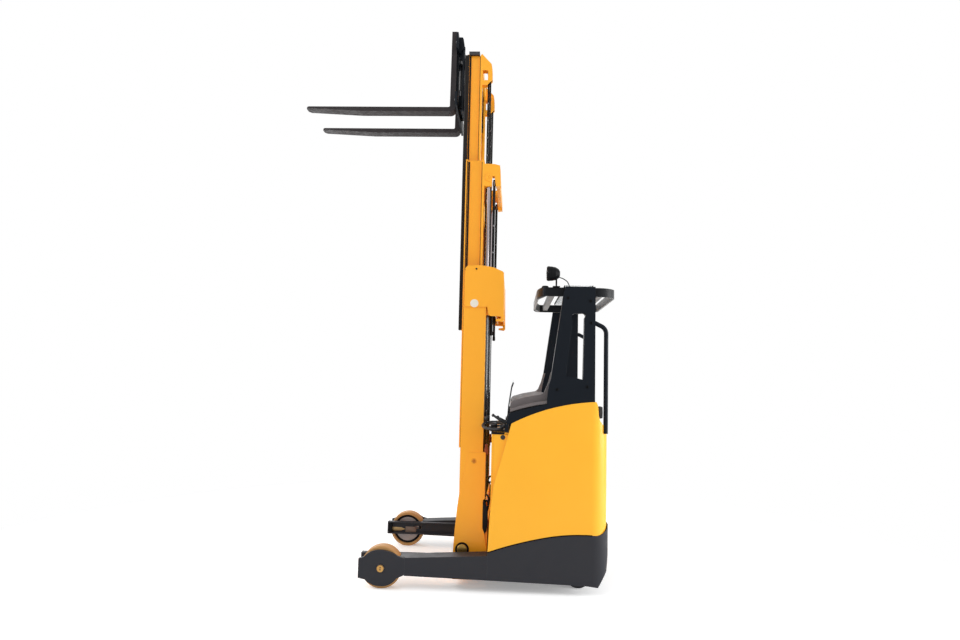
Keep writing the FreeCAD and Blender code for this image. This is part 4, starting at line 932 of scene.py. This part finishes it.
    def tracks(self) -> None:
        """Near-black strips on the flange edges and the innermost rail's front, and painted shade in the
        corners of the webs beside both flanges.
        """
        inner_top = Span.of("inner_caps").low.z - 0.002
        middle_top = Span.of("middle_mast").high.z - 0.010
        for node, reach, depth, edge_front, top in (("inner_mast", 0.312, 0.120, 0.0, inner_top),
                                                    ("middle_mast", 0.378, 0.142, 0.009, middle_top)):
            rail = Span.of(node)
            front = rail.low.x
            foot = rail.low.z + 0.002
            web_front = front + self.rail_flange
            web_rear = front + depth - self.rail_flange
            for side in Side:
                shape = Shaper()
                face = side.value * reach
                web = side.value * (reach - self.rail_recess)
                # The first strip is near-black on the flange's edge; the two on the web are painted shade in
                # its corners.
                for x_low, x_high, y in ((front + edge_front, web_front, face),
                                         (web_front, web_front + self.corner_front, web),
                                         (web_rear - self.corner_rear, web_rear, web)):
                    shape.block((x_low, y - side.value * 0.001, foot),
                                (x_high, y + side.value * self.track_thick, top), 0.0002, 1)
                # Near-black strip ahead of the innermost rail's front.
                if node == "inner_mast":
                    shape.block((front - self.front_track, face - side.value * 0.002, foot),
                                (front + 0.001, face - side.value * self.front_wide, top), 0.003)
                shape.piece(f"{node}_track_{side.label}", DARK_EDGE_AND_SHADE, node)

    def chains(self) -> None:
        """Leaf chains over the free-lift sheave, down beside its cylinder."""
        rod = Span.of("free_lift_rod")
        sheave = Vector((rod.at(0.5, 0, 0).x, 0.0, rod.high.z - 0.038))
        radius = self.chain_radius
        turns = [math.pi - math.pi * step / 8 for step in range(9)]
        over = [(radius * math.cos(turn), radius * math.sin(turn)) for turn in turns]
        path = [(-radius, -self.chain_front)] + over + [(radius, -self.chain_rear)]
        for k, y in enumerate((-0.016, 0.016)):
            line = bpy.data.meshes.new("chain_line")
            line.from_pydata([tuple(sheave + Vector((x, y, z))) for x, z in path],
                             [(n, n + 1) for n in range(len(path) - 1)], [])
            mesh = chain_tree(CHAIN_STEEL.material()).run(line, {})
            add_piece(f"lift_chain_{k + 1}", mesh, CHAIN_STEEL, "free_lift_rod", smooth_deg=25.0)

    def build(self) -> None:
        """Make every piece of the mast."""
        self.foot_pins()
        self.label()
        self.bosses()
        self.foot_hoses()
        self.hose_clips()
        self.hose_runs()
        self.glands()
        self.tracks()
        self.chains()


@dataclass
class OperatorStation:
    """Pad, controls, mat and display of the operator's place."""

    crown: float = 0.05
    corner_pull: float = 0.32
    seam_place: float = -0.35
    seam_width: float = 0.09
    seam_depth: float = 0.05
    rib_pitch: float = 0.018
    rib_margin: float = 0.06
    rib_bare: float = 0.292
    rib_short: float = 0.26
    wheel_tilt_deg: float = 15.0
    knob_reach: float = 0.054
    lever_count: int = 4
    lever_row: float = 0.23
    display_at: Point = (0.009, -0.255, -0.296)
    display_size: Point = (0.004, 0.120, 0.078)
    key_pitch: tuple[float, float] = (0.022, 0.030)
    handle_steps: int = 9
    plate_inset: float = 0.011
    screen_line: tuple = ((0.0, 0.0), (0.145, 0.161), (0.29, 0.473), (0.637, 0.844), (0.89, 0.945))

    def back_pad(self) -> None:
        """Moulded foam pad on the near panel, crowned and pulled in at its corners."""
        box = Span.of("back_pad")
        low = box.low + Vector((0.003, 0.004, 0.002))
        high = box.high - Vector((0.002, 0.002, 0.002))
        half = (high - low) / 2
        centre = (high + low) / 2
        shape = Shaper()
        bmesh.ops.create_cube(shape.bm, size=2.0)
        bmesh.ops.subdivide_edges(shape.bm, edges=shape.bm.edges, cuts=9, use_grid_fill=True)
        for vert in shape.bm.verts:
            share = vert.co.copy()
            ball = share.normalized() * max(abs(share.x), abs(share.y), abs(share.z))
            soft = share.lerp(ball, self.corner_pull)
            swell = 1.0 - self.crown * (share.x ** 2 + share.z ** 2)
            seam = 1.0 - self.seam_depth * math.exp(-((share.y - self.seam_place) / self.seam_width) ** 2)
            vert.co = centre + Vector((
                soft.x * half.x * seam, soft.y * half.y * swell, soft.z * half.z * seam))
        pad = shape.piece("back_cushion", PAD_FOAM, smooth_deg=60.0)
        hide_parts("back_pad")

    def mat(self) -> None:
        """Ribs across the operator's mat."""
        box = Span.of("floor_mat")
        count = int((box.size.x - self.rib_bare) / self.rib_pitch)
        rear = Vector((box.high.x - self.rib_margin, box.at(0, 0.5, 0).y, box.high.z - 0.006))
        places = [(rear + AHEAD * self.rib_pitch * k, UP) for k in range(count)]
        sizes = {"Rib Length": box.size.y - self.rib_short}
        mesh = rib_tree(MAT_RUBBER.material()).run(points_mesh(places), sizes)
        add_piece("mat_ribs", mesh, MAT_RUBBER, "chassis", smooth_deg=25.0)

    def wheel_fittings(self) -> None:
        """Spinner knob and centre cap of the steering wheel."""
        centre = Span.of("steering_wheel").at(0.5, 0.5, 0.5)
        tilt = math.radians(self.wheel_tilt_deg)
        axis = Vector((0, -math.sin(tilt), math.cos(tilt)))
        cap = Shaper()
        cap.lathe([(0.0, 0.008), (0.026, 0.008), (0.027, 0.014), (0.024, 0.018), (0.012, 0.0205),
                   (0.0, 0.021)], centre, axis, 32)
        cap.piece("wheel_cap", MOULDED_BLACK, "steering_wheel")
        knob = Shaper()
        spot = centre + (AHEAD - axis.cross(AHEAD)) * self.knob_reach
        knob.lathe([(0.0, 0.006), (0.006, 0.006), (0.006, 0.020), (0.013, 0.024), (0.017, 0.033),
                    (0.016, 0.043), (0.010, 0.050), (0.0, 0.052)], spot, axis, 24)
        knob.piece("spinner_knob", MOULDED_BLACK, "steering_wheel")

    def controls(self) -> None:
        """Lever boots, display and its keys."""
        pod = Span.of("operator_controls")
        console = Span.of("console")
        rear = console.high.x
        boots = Shaper()
        pitch = self.lever_row / self.lever_count
        for k in range(self.lever_count):
            foot = Vector((rear - 0.001, pod.high.y - pitch * (k + 0.5), pod.high.z - 0.090))
            boots.lathe([(0.0, 0.0), (0.019, 0.0), (0.019, 0.003), (0.016, 0.006), (0.017, 0.009),
                         (0.013, 0.012), (0.014, 0.015), (0.009, 0.019), (0.0056, 0.026), (0.0, 0.026)],
                        foot, UP, 20)
        boots.piece("lever_boots", MAT_RUBBER)
        display = Shaper()
        back, aside, down = self.display_at
        low = Vector((rear + back, aside, console.high.z + down))
        display.block(low, low + Vector(self.display_size), 0.002)
        display.piece("display_glass", DISPLAY_GLASS)
        keys = [(low + Vector((0.001, 0.150 + self.key_pitch[0] * column, 0.020 + self.key_pitch[1] * row)),
                 -AHEAD) for column in range(2) for row in range(2)]
        lay_screws("display_keys", "chassis", keys, CONSOLE_GREY, 0.007, 0.004, drive_share=0.8)

    def direction_handle(self) -> None:
        """Moulded handle over the travel lever beside the steering wheel."""
        column = Span.of("steering_column")
        root = column.at(0.86, 0.42, 0.52)
        tip = Vector((column.low.x + 0.018, root.y, column.high.z + 0.001))
        steps = self.handle_steps
        step = (tip - root) / steps
        shape = Shaper()
        for k in range(steps):
            thick = 0.0125 - 0.004 * abs(2 * k / (steps - 1) - 0.8)
            shape.lathe([(0.0, 0.0), (thick, 0.0), (thick * 0.98, step.length), (0.0, step.length)],
                        root + step * k, step, 16)
        shape.lathe([(0.0, -0.010), (0.009, -0.007), (0.0125, 0.0), (0.009, 0.007), (0.0, 0.010)],
                    tip, step, 16)
        shape.piece("direction_handle", MOULDED_BLACK)

    def lid_fittings(self) -> None:
        """Edge rubber of the battery lid, the bay's side plates and their locks."""
        lid = Span.of("battery_lid")
        front = lid.low.x - 0.004
        foot = lid.low.z - 0.001
        top = lid.high.z + 0.0015
        seal = Shaper()
        seal.block((front, lid.low.y, foot), (lid.low.x + 0.001, lid.high.y, top), 0.002)
        for side in Side:
            y = lid.outer(side)
            seal.block((front, y - side.value * 0.001, foot),
                       (lid.at(0.26, 0, 0).x, y + side.value * 0.0015, top), 0.0006)
        seal.piece("lid_edge_rubber", MAT_RUBBER)
        cover = Span.of("battery_cover")
        lock = Shaper()
        for side in Side:
            face = cover.outer(side) - side.value * 0.0015
            plate = Shaper()
            plate.block((cover.low.x + self.plate_inset, face, cover.low.z + 0.002),
                        (cover.high.x - self.plate_inset, face - side.value * 0.004, cover.high.z - 0.002),
                        0.001)
            plate.piece(f"bay_side_plate_{side.label}", PANEL_YELLOW)
            lock.lathe([(0.0, -0.001), (0.017, -0.001), (0.017, 0.001), (0.0145, 0.0015), (0.005, 0.0015),
                        (0.0045, 0.0002), (0.0, 0.0002)],
                       Vector((cover.low.x + 0.078, face, cover.at(0, 0, 0.974).z)), side.out, 28)
        lock.piece("bay_locks", MOULDED_BLACK)

    def screen_frame(self) -> None:
        """Dark foot strip and side edges of the clear screen."""
        screen = Span.of("console_screen")
        foot = Shaper()
        foot.block((screen.low.x - 0.007, screen.low.y, screen.low.z),
                   (screen.low.x - 0.0008, screen.high.y, screen.low.z + 0.045), 0.003)
        foot.piece("screen_foot", MOULDED_BLACK)
        edge = Shaper()
        for side in Side:
            line = [screen.on_end(side, x, z) for x, z in self.screen_line]
            back = [point - AHEAD * 0.009 for point in reversed(line)]
            edge.slab(line + back, side.out * 0.004, 0.0008)
        edge.piece("screen_edge", MOULDED_BLACK)

    def build(self) -> None:
        """Make every piece of the operator's place."""
        self.back_pad()
        self.mat()
        self.wheel_fittings()
        self.controls()
        self.direction_handle()
        self.lid_fittings()
        self.screen_frame()


@dataclass
class GuardDetail:
    """Corner covers of the guard's hoop, the work lamp's glass and cable, and the roof's seal."""

    corner_front: float = 0.350
    corner_back: float = 0.054
    corner_steps: int = 12
    lamp_radius: float = 0.052
    cable_radius: float = 0.0035
    cable_drop: float = 0.026
    cable_line: tuple = (
        (0.0, 0.0, 0.0), (0.022, 0.001, -0.006), (0.045, 0.003, -0.018), (0.066, 0.004, -0.036))

    def corners(self) -> None:
        """Rounded covers over the two front corners of the guard's hoop."""
        ring = Span.of("guard_ring")
        wide = ring.high.y - self.corner_front
        for side in Side:
            points = []
            for k in range(self.corner_steps + 1):
                turn = math.pi / 2 * k / self.corner_steps
                points.append(Vector((ring.low.x + self.corner_back * (1 - math.cos(turn)),
                                      side.value * (self.corner_front + wide * math.sin(turn)), ring.low.z)))
            cover = Shaper()
            cover.slab(points, UP * ring.size.z, 0.0008)
            cover.piece(f"hoop_corner_{side.label}", GUARD_BLACK)

    def lamp(self) -> None:
        """Bezel, domed glass and cable of the work lamp, and the cap on the hoop behind it."""
        lamp = Span.of("work_lamp")
        ring = Span.of("guard_ring")
        centre = Vector((lamp.low.x, lamp.low.y + self.lamp_radius, lamp.high.z - self.lamp_radius))
        bezel = Shaper()
        bezel.lathe([(0.044, 0.001), (0.0485, 0.003), (0.051, 0.0), (0.0535, -0.006), (0.0535, -0.016),
                     (0.0522, -0.018), (0.044, -0.002), (0.044, 0.001)], centre, AHEAD, 40)
        bezel.piece("lamp_bezel", LAMP_BLACK)
        glass = Shaper()
        glass.lathe([(0.0, 0.0), (0.0445, 0.0), (0.044, 0.003), (0.034, 0.0065), (0.018, 0.0085),
                     (0.0, 0.009)], centre, AHEAD, 40)
        glass.piece("lamp_glass", LAMP_GLASS)
        cap = Shaper()
        cap.lathe([(0.0, -0.002), (0.026, -0.002), (0.026, 0.010), (0.022, 0.018), (0.012, 0.021),
                   (0.0, 0.022)], Vector((ring.low.x + 0.055, ring.low.y + 0.075, ring.high.z)), UP, 28)
        cap.piece("hoop_corner_cap", LAMP_BLACK)
        back = Vector((lamp.at(0.94, 0, 0).x, centre.y, centre.z - self.cable_drop))
        points = [back + Vector(step) for step in self.cable_line]
        points.append(Vector((back.x + 0.080, centre.y + 0.003, ring.high.z - 0.004)))
        cable = Shaper()
        cable.hose(points, self.cable_radius, 3)
        cable.piece("lamp_cable", HOSE_RUBBER)

    def roof_seal(self) -> None:
        """Rubber edge strips of the roof plate."""
        roof = Span.of("roof_plate")
        seal = Shaper()
        for x in (roof.low.x - 0.004, roof.high.x - 0.001):
            seal.block((x, roof.low.y + 0.004, roof.low.z + 0.0015),
                       (x + 0.005, roof.high.y - 0.004, roof.high.z + 0.002), 0.0015)
        seal.piece("roof_seal", MAT_RUBBER)

    def build(self) -> None:
        """Make every piece of the guard."""
        self.corners()
        self.lamp()
        self.roof_seal()


@dataclass
class ChassisDetail:
    """Cord of painted shade in the panel joints, step edge, grip and rail strips of the chassis, and the
    fittings of its wheels, with painted shade for the key holes in the axle caps.
    """

    seam_radius: float = 0.0035
    seam_reach: float = 0.0005
    seam_top: float = 0.45
    rib_pitch: float = 0.008
    rib_width: float = 0.007
    key_hole: float = 0.0048
    key_offset: float = 0.0065
    rail_width: float = 0.046
    rail_wall: float = 0.009
    strip_thick: float = 0.0012
    plate_line: tuple = (
        (0.150, 0.104), (0.150, 0.168), (0.226, 0.168), (0.243, 0.160), (0.243, 0.110), (0.226, 0.104))
    strip_line: tuple = ((0.004, 0.128), (0.004, 0.162), (0.112, 0.160), (0.149, 0.146), (0.112, 0.132))
    bore: float = 0.0165
    hub_radius: float = 0.065
    hub_cone: float = 0.004
    dish: float = 0.01125
    band_in: float = 0.70
    band_out: float = 0.84
    bolt_count: int = 7
    bolt_ring: float = 0.27

    def panel_seams(self) -> None:
        """Black cord in the joint under each side panel, a dark piece that stands for the painted shade of
        the gap there.
        """
        for side in Side:
            node = f"side_panel_{side.label}"
            out = Span.of(node).outer(side)
            foot: dict[float, float] = {}
            for vert in bpy.data.objects[node].data.vertices:
                if abs(vert.co.y - out) < self.seam_reach and vert.co.z < self.seam_top:
                    x = round(vert.co.x, 3)
                    foot[x] = min(foot.get(x, vert.co.z), vert.co.z)
            shape = Shaper()
            shape.hose([Vector((x, out, foot[x])) for x in sorted(foot)], self.seam_radius, 3)
            shape.piece(f"panel_seam_{side.label}", GAP_SHADE_CORD)

    def step_edge(self) -> None:
        """Ribbed steel edge on the step of the rear entry."""
        mat = Span.of("floor_mat")
        z = mat.low.z + 0.002
        shape = Shaper()
        for k in range(4):
            x = mat.high.x + 0.002 + self.rib_pitch * k
            shape.block((x, mat.low.y + 0.17, z - 0.003), (x + self.rib_width, mat.high.y - 0.01, z + 0.003),
                        0.0015)
        shape.piece("step_edge", TRACK_STEEL)

    def cover_grip(self) -> None:
        """Sunk grip and two seams on the drive unit's housing."""
        cover = Span.of("drive_cover")
        top = cover.high.z
        shape = Shaper()
        for share in (0.33, 0.66):
            y = cover.at(0, share, 0).y
            shape.block((cover.low.x + 0.03, y - 0.002, top - 0.0005),
                        (cover.high.x - 0.05, y + 0.002, top + 0.0015), 0.0008)
        shape.block(cover.at(0.35, 0, 0.72) - Vector((0, 0.012, 0)), cover.at(0.65, 0, 0.75), 0.005)
        shape.piece("cover_grip", MOULDED_BLACK)

    def axle_hole_shade(self) -> None:
        """Two key holes in each load-wheel axle cap, drawn as flat black discs of painted shade, and a thin
        black ring.
        """
        axle = Span.of("load_axles")
        for side in Side:
            middle = axle.on_end(side, 0.5, 0.5)
            shape = Shaper()
            # Flat black discs: painted shade of the two key holes.
            for lift in (self.key_offset, -self.key_offset):
                shape.lathe([(0.0, 0.0), (self.key_hole, 0.0), (self.key_hole, 0.0004), (0.0, 0.0005)],
                            middle + UP * lift, side.out, 16)
            shape.lathe([(0.0235, 0.0), (0.0262, 0.0), (0.0262, 0.0004), (0.0235, 0.0004), (0.0235, 0.0)],
                        middle, side.out, 32)
            shape.piece(f"axle_key_holes_{side.label}", MOULDED_BLACK)

    def rail_strips(self) -> None:
        """Browned end plates and pointed wear strips on the webs of the reach rails."""
        for side in Side:
            leg = Span.of(f"leg_{side.label}")
            inner = leg.high.y if side is Side.NEAR else leg.low.y
            web = inner + side.value * (self.rail_width - self.rail_wall)
            for name, outline, finish in (("rail_plate", self.plate_line, WEAR_STRIP),
                                          ("rail_wear_strip", self.strip_line, STRIP_BRONZE)):
                shape = Shaper()
                shape.slab([Vector((leg.low.x + x, web, z)) for x, z in outline],
                           side.out * -self.strip_thick, 0.0004)
                shape.piece(f"{name}_{side.label}", finish)

    def load_wheels(self) -> None:
        """Cast centres and black bands of the load wheels."""
        edge = self.hub_radius + 0.0005
        cone = self.hub_radius + self.hub_cone
        for node in ("load_wheel_near", "load_wheel_far"):
            wheel = Span.of(node)
            centre = wheel.at(0.5, 0.5, 0.5)
            half = wheel.size.y / 2
            band_in = wheel.size.z / 2 * self.band_in
            band_out = wheel.size.z / 2 * self.band_out
            step = wheel.size.z / 2 * 0.02
            casting = Shaper()
            band = Shaper()
            for side in Side:
                hub = centre + side.out * half
                dish = centre + side.out * (half - self.dish)
                casting.lathe([(self.bore, 0.0), (self.hub_radius, 0.0), (cone, -self.dish),
                               (cone + 0.0008, -self.dish), (self.hub_radius + 0.0008, 0.0012),
                               (self.bore, 0.0012), (self.bore, 0.0)], hub, side.out, 48)
                casting.lathe([(edge, 0.0), (band_in, 0.0), (band_in, 0.0015), (edge, 0.0012), (edge, 0.0)],
                              dish, side.out, 48)
                band.lathe([(band_in, 0.0), (band_out, 0.0), (band_out, 0.0022), (band_out - step, 0.0030),
                            (band_in + step, 0.0030), (band_in, 0.0022), (band_in, 0.0)],
                           dish, side.out, 48)
            casting.piece(f"{node}_casting", WHEEL_CASTING, node)
            band.piece(f"{node}_band", MAT_RUBBER, node)

    def drive_bolts(self) -> None:
        """Bolts around the drive wheel's hub."""
        wheel = Span.of("drive_wheel")
        reach = wheel.size.z / 2 * self.bolt_ring
        places = []
        for k in range(self.bolt_count):
            turn = 2 * math.pi * k / self.bolt_count
            spot = wheel.at(0.5, 0.0, 0.5) + Vector((math.cos(turn), 0, math.sin(turn))) * reach
            places.append((spot, Side.NEAR.out))
        lay_screws("drive_wheel_hub_bolts", "drive_wheel", places, ROLLER_STEEL, 0.005, 0.0025)

    def build(self) -> None:
        """Make every piece of the chassis and its wheels."""
        self.panel_seams()
        self.step_edge()
        self.cover_grip()
        self.axle_hole_shade()
        self.rail_strips()
        self.load_wheels()
        self.drive_bolts()


# ------------------------------------------------------------------ studio
@dataclass
class Studio:
    """Plain pale floor, soft lights and the camera."""

    camera_at: Point = (0.471, -5.130, 1.470)
    pitch: float = 0.086
    yaw: float = -0.041
    roll: float = 0.022
    lens: float = 23.96
    sensor: float = 36.0
    shift: tuple[float, float] = (-0.00729167, 0.00208333)
    aim_at: Point = (0.1, 0.0, 1.6)
    boxes: tuple = (
        ("key_box", (-3.2, -4.5, 6.0), 4.0, 130.0), ("fill_box", (4.2, -4.0, 3.6), 3.5, 50.0),
        ("back_box", (-2.6, 4.4, 3.0), 3.0, 120.0), ("left_box", (-6.0, -0.6, 3.2), 3.0, 130.0),
        ("right_box", (5.6, -0.8, 2.0), 3.0, 230.0))
    world_light: float = 0.5
    floor_reach: float = 14.0
    floor_glow: float = 0.28
    shadow_reach: float = 1.9
    shadow_end: float = 4.18

    def camera(self) -> None:
        """Set the camera by its place and its three angles."""
        flat = Vector((math.sin(self.yaw), math.cos(self.yaw), 0.0))
        side = Vector((math.cos(self.yaw), -math.sin(self.yaw), 0.0))
        ahead = math.cos(self.pitch) * flat + math.sin(self.pitch) * UP
        above = math.cos(self.pitch) * UP - math.sin(self.pitch) * flat
        right = math.cos(self.roll) * side + math.sin(self.roll) * above
        up = math.cos(self.roll) * above - math.sin(self.roll) * side
        turn = Matrix((right, up, -ahead)).transposed().to_4x4()
        lens = bpy.data.cameras.new("camera")
        lens.lens = self.lens
        lens.sensor_width = self.sensor
        lens.shift_x, lens.shift_y = self.shift
        camera = bpy.data.objects.new("camera", lens)
        camera.matrix_world = Matrix.Translation(self.camera_at) @ turn
        bpy.context.scene.collection.objects.link(camera)
        bpy.context.scene.camera = camera

    def lights(self) -> None:
        """Set up large soft boxes on all sides."""
        for name, at, size, power in self.boxes:
            lamp = bpy.data.lights.new(name, "AREA")
            lamp.shape = "SQUARE"
            lamp.size = size
            lamp.energy = power
            obj = bpy.data.objects.new(name, lamp)
            obj.location = at
            obj.visible_camera = False
            aim = Vector(self.aim_at) - Vector(at)
            obj.rotation_euler = aim.to_track_quat("-Z", "Y").to_euler()
            bpy.context.scene.collection.objects.link(obj)

    def world(self) -> None:
        """Surround the truck with white that lights it at half its strength."""
        world = bpy.data.worlds.new("studio")
        bpy.context.scene.world = world
        tree = empty_tree(world)
        ray = add_node(tree, "ShaderNodeLightPath")
        seen = ray.outputs["Is Camera Ray"]
        for kind in ("Is Glossy Ray", "Is Transmission Ray"):
            seen = add_node(tree, "ShaderNodeMath", {0: seen, 1: ray.outputs[kind]},
                            operation="MAXIMUM").outputs["Value"]
        strength = add_node(tree, "ShaderNodeMapRange", {
            "Value": seen, "To Min": self.world_light, "To Max": 1.0})
        back = add_node(tree, "ShaderNodeBackground", {
            "Color": WHITE, "Strength": strength.outputs["Result"]})
        add_node(tree, "ShaderNodeOutputWorld", {"Surface": back.outputs["Background"]})

    def floor(self) -> None:
        """A pale floor that keeps the truck's shadow and turns white away from it."""
        mesh = bpy.data.meshes.new("floor")
        reach = self.floor_reach
        mesh.from_pydata([(-reach, -reach, 0), (reach, -reach, 0), (reach, reach, 0), (-reach, reach, 0)],
                         [], [(0, 1, 2, 3)])
        floor = bpy.data.objects.new("floor", mesh)
        bpy.context.scene.collection.objects.link(floor)
        material = bpy.data.materials.new("pale_studio_floor")
        tree = empty_tree(material)
        ray = add_node(tree, "ShaderNodeLightPath")
        matt = add_node(tree, "ShaderNodeBsdfDiffuse", {"Color": WHITE})
        glow = add_node(tree, "ShaderNodeEmission", {
            "Color": WHITE, "Strength": self.floor_glow})
        both = add_node(tree, "ShaderNodeAddShader", {0: matt.outputs[0], 1: glow.outputs[0]})
        place = add_node(tree, "ShaderNodeTexCoord").outputs["Object"]
        away = add_node(tree, "ShaderNodeVectorMath", {0: place}, operation="LENGTH")
        far = add_node(tree, "ShaderNodeMapRange", {
            "Value": away.outputs["Value"], "From Min": self.shadow_reach, "From Max": self.shadow_end})
        white = add_node(tree, "ShaderNodeEmission", {"Color": WHITE, "Strength": 1.0})
        seen = add_node(tree, "ShaderNodeMixShader", {
            0: far.outputs["Result"], 1: both.outputs[0], 2: white.outputs[0]})
        mix = add_node(tree, "ShaderNodeMixShader", {
            0: ray.outputs["Is Camera Ray"], 1: matt.outputs[0], 2: seen.outputs[0]})
        add_node(tree, "ShaderNodeOutputMaterial", {"Surface": mix.outputs[0]})
        mesh.materials.append(material)

    def build(self) -> None:
        """Set up the whole studio."""
        self.camera()
        self.lights()
        self.world()
        self.floor()
        bpy.context.scene.view_settings.view_transform = "Standard"


def dress_cad(frame: dict) -> None:
    """Give every CAD node the finish of its material slot.
    """
    slots = {row["node"]: row["material_slot"] for row in frame["record"]["subparts"]}
    for node, obj in frame["nodes"].items():
        NODE_FINISHES.get(node, SLOT_FINISHES[slots[node]]).dress(obj)


def main() -> None:
    """Build the dressed truck."""
    logging.basicConfig(level=logging.INFO, format="%(name)s: %(message)s")
    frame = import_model()
    Studio().build()
    dress_cad(frame)
    for assembly in (Fasteners(), MastDetail(), OperatorStation(), GuardDetail(), ChassisDetail()):
        assembly.build()
    log.info("dressed %d CAD nodes", len(frame["nodes"]))


if __name__ == "__main__":
    main()
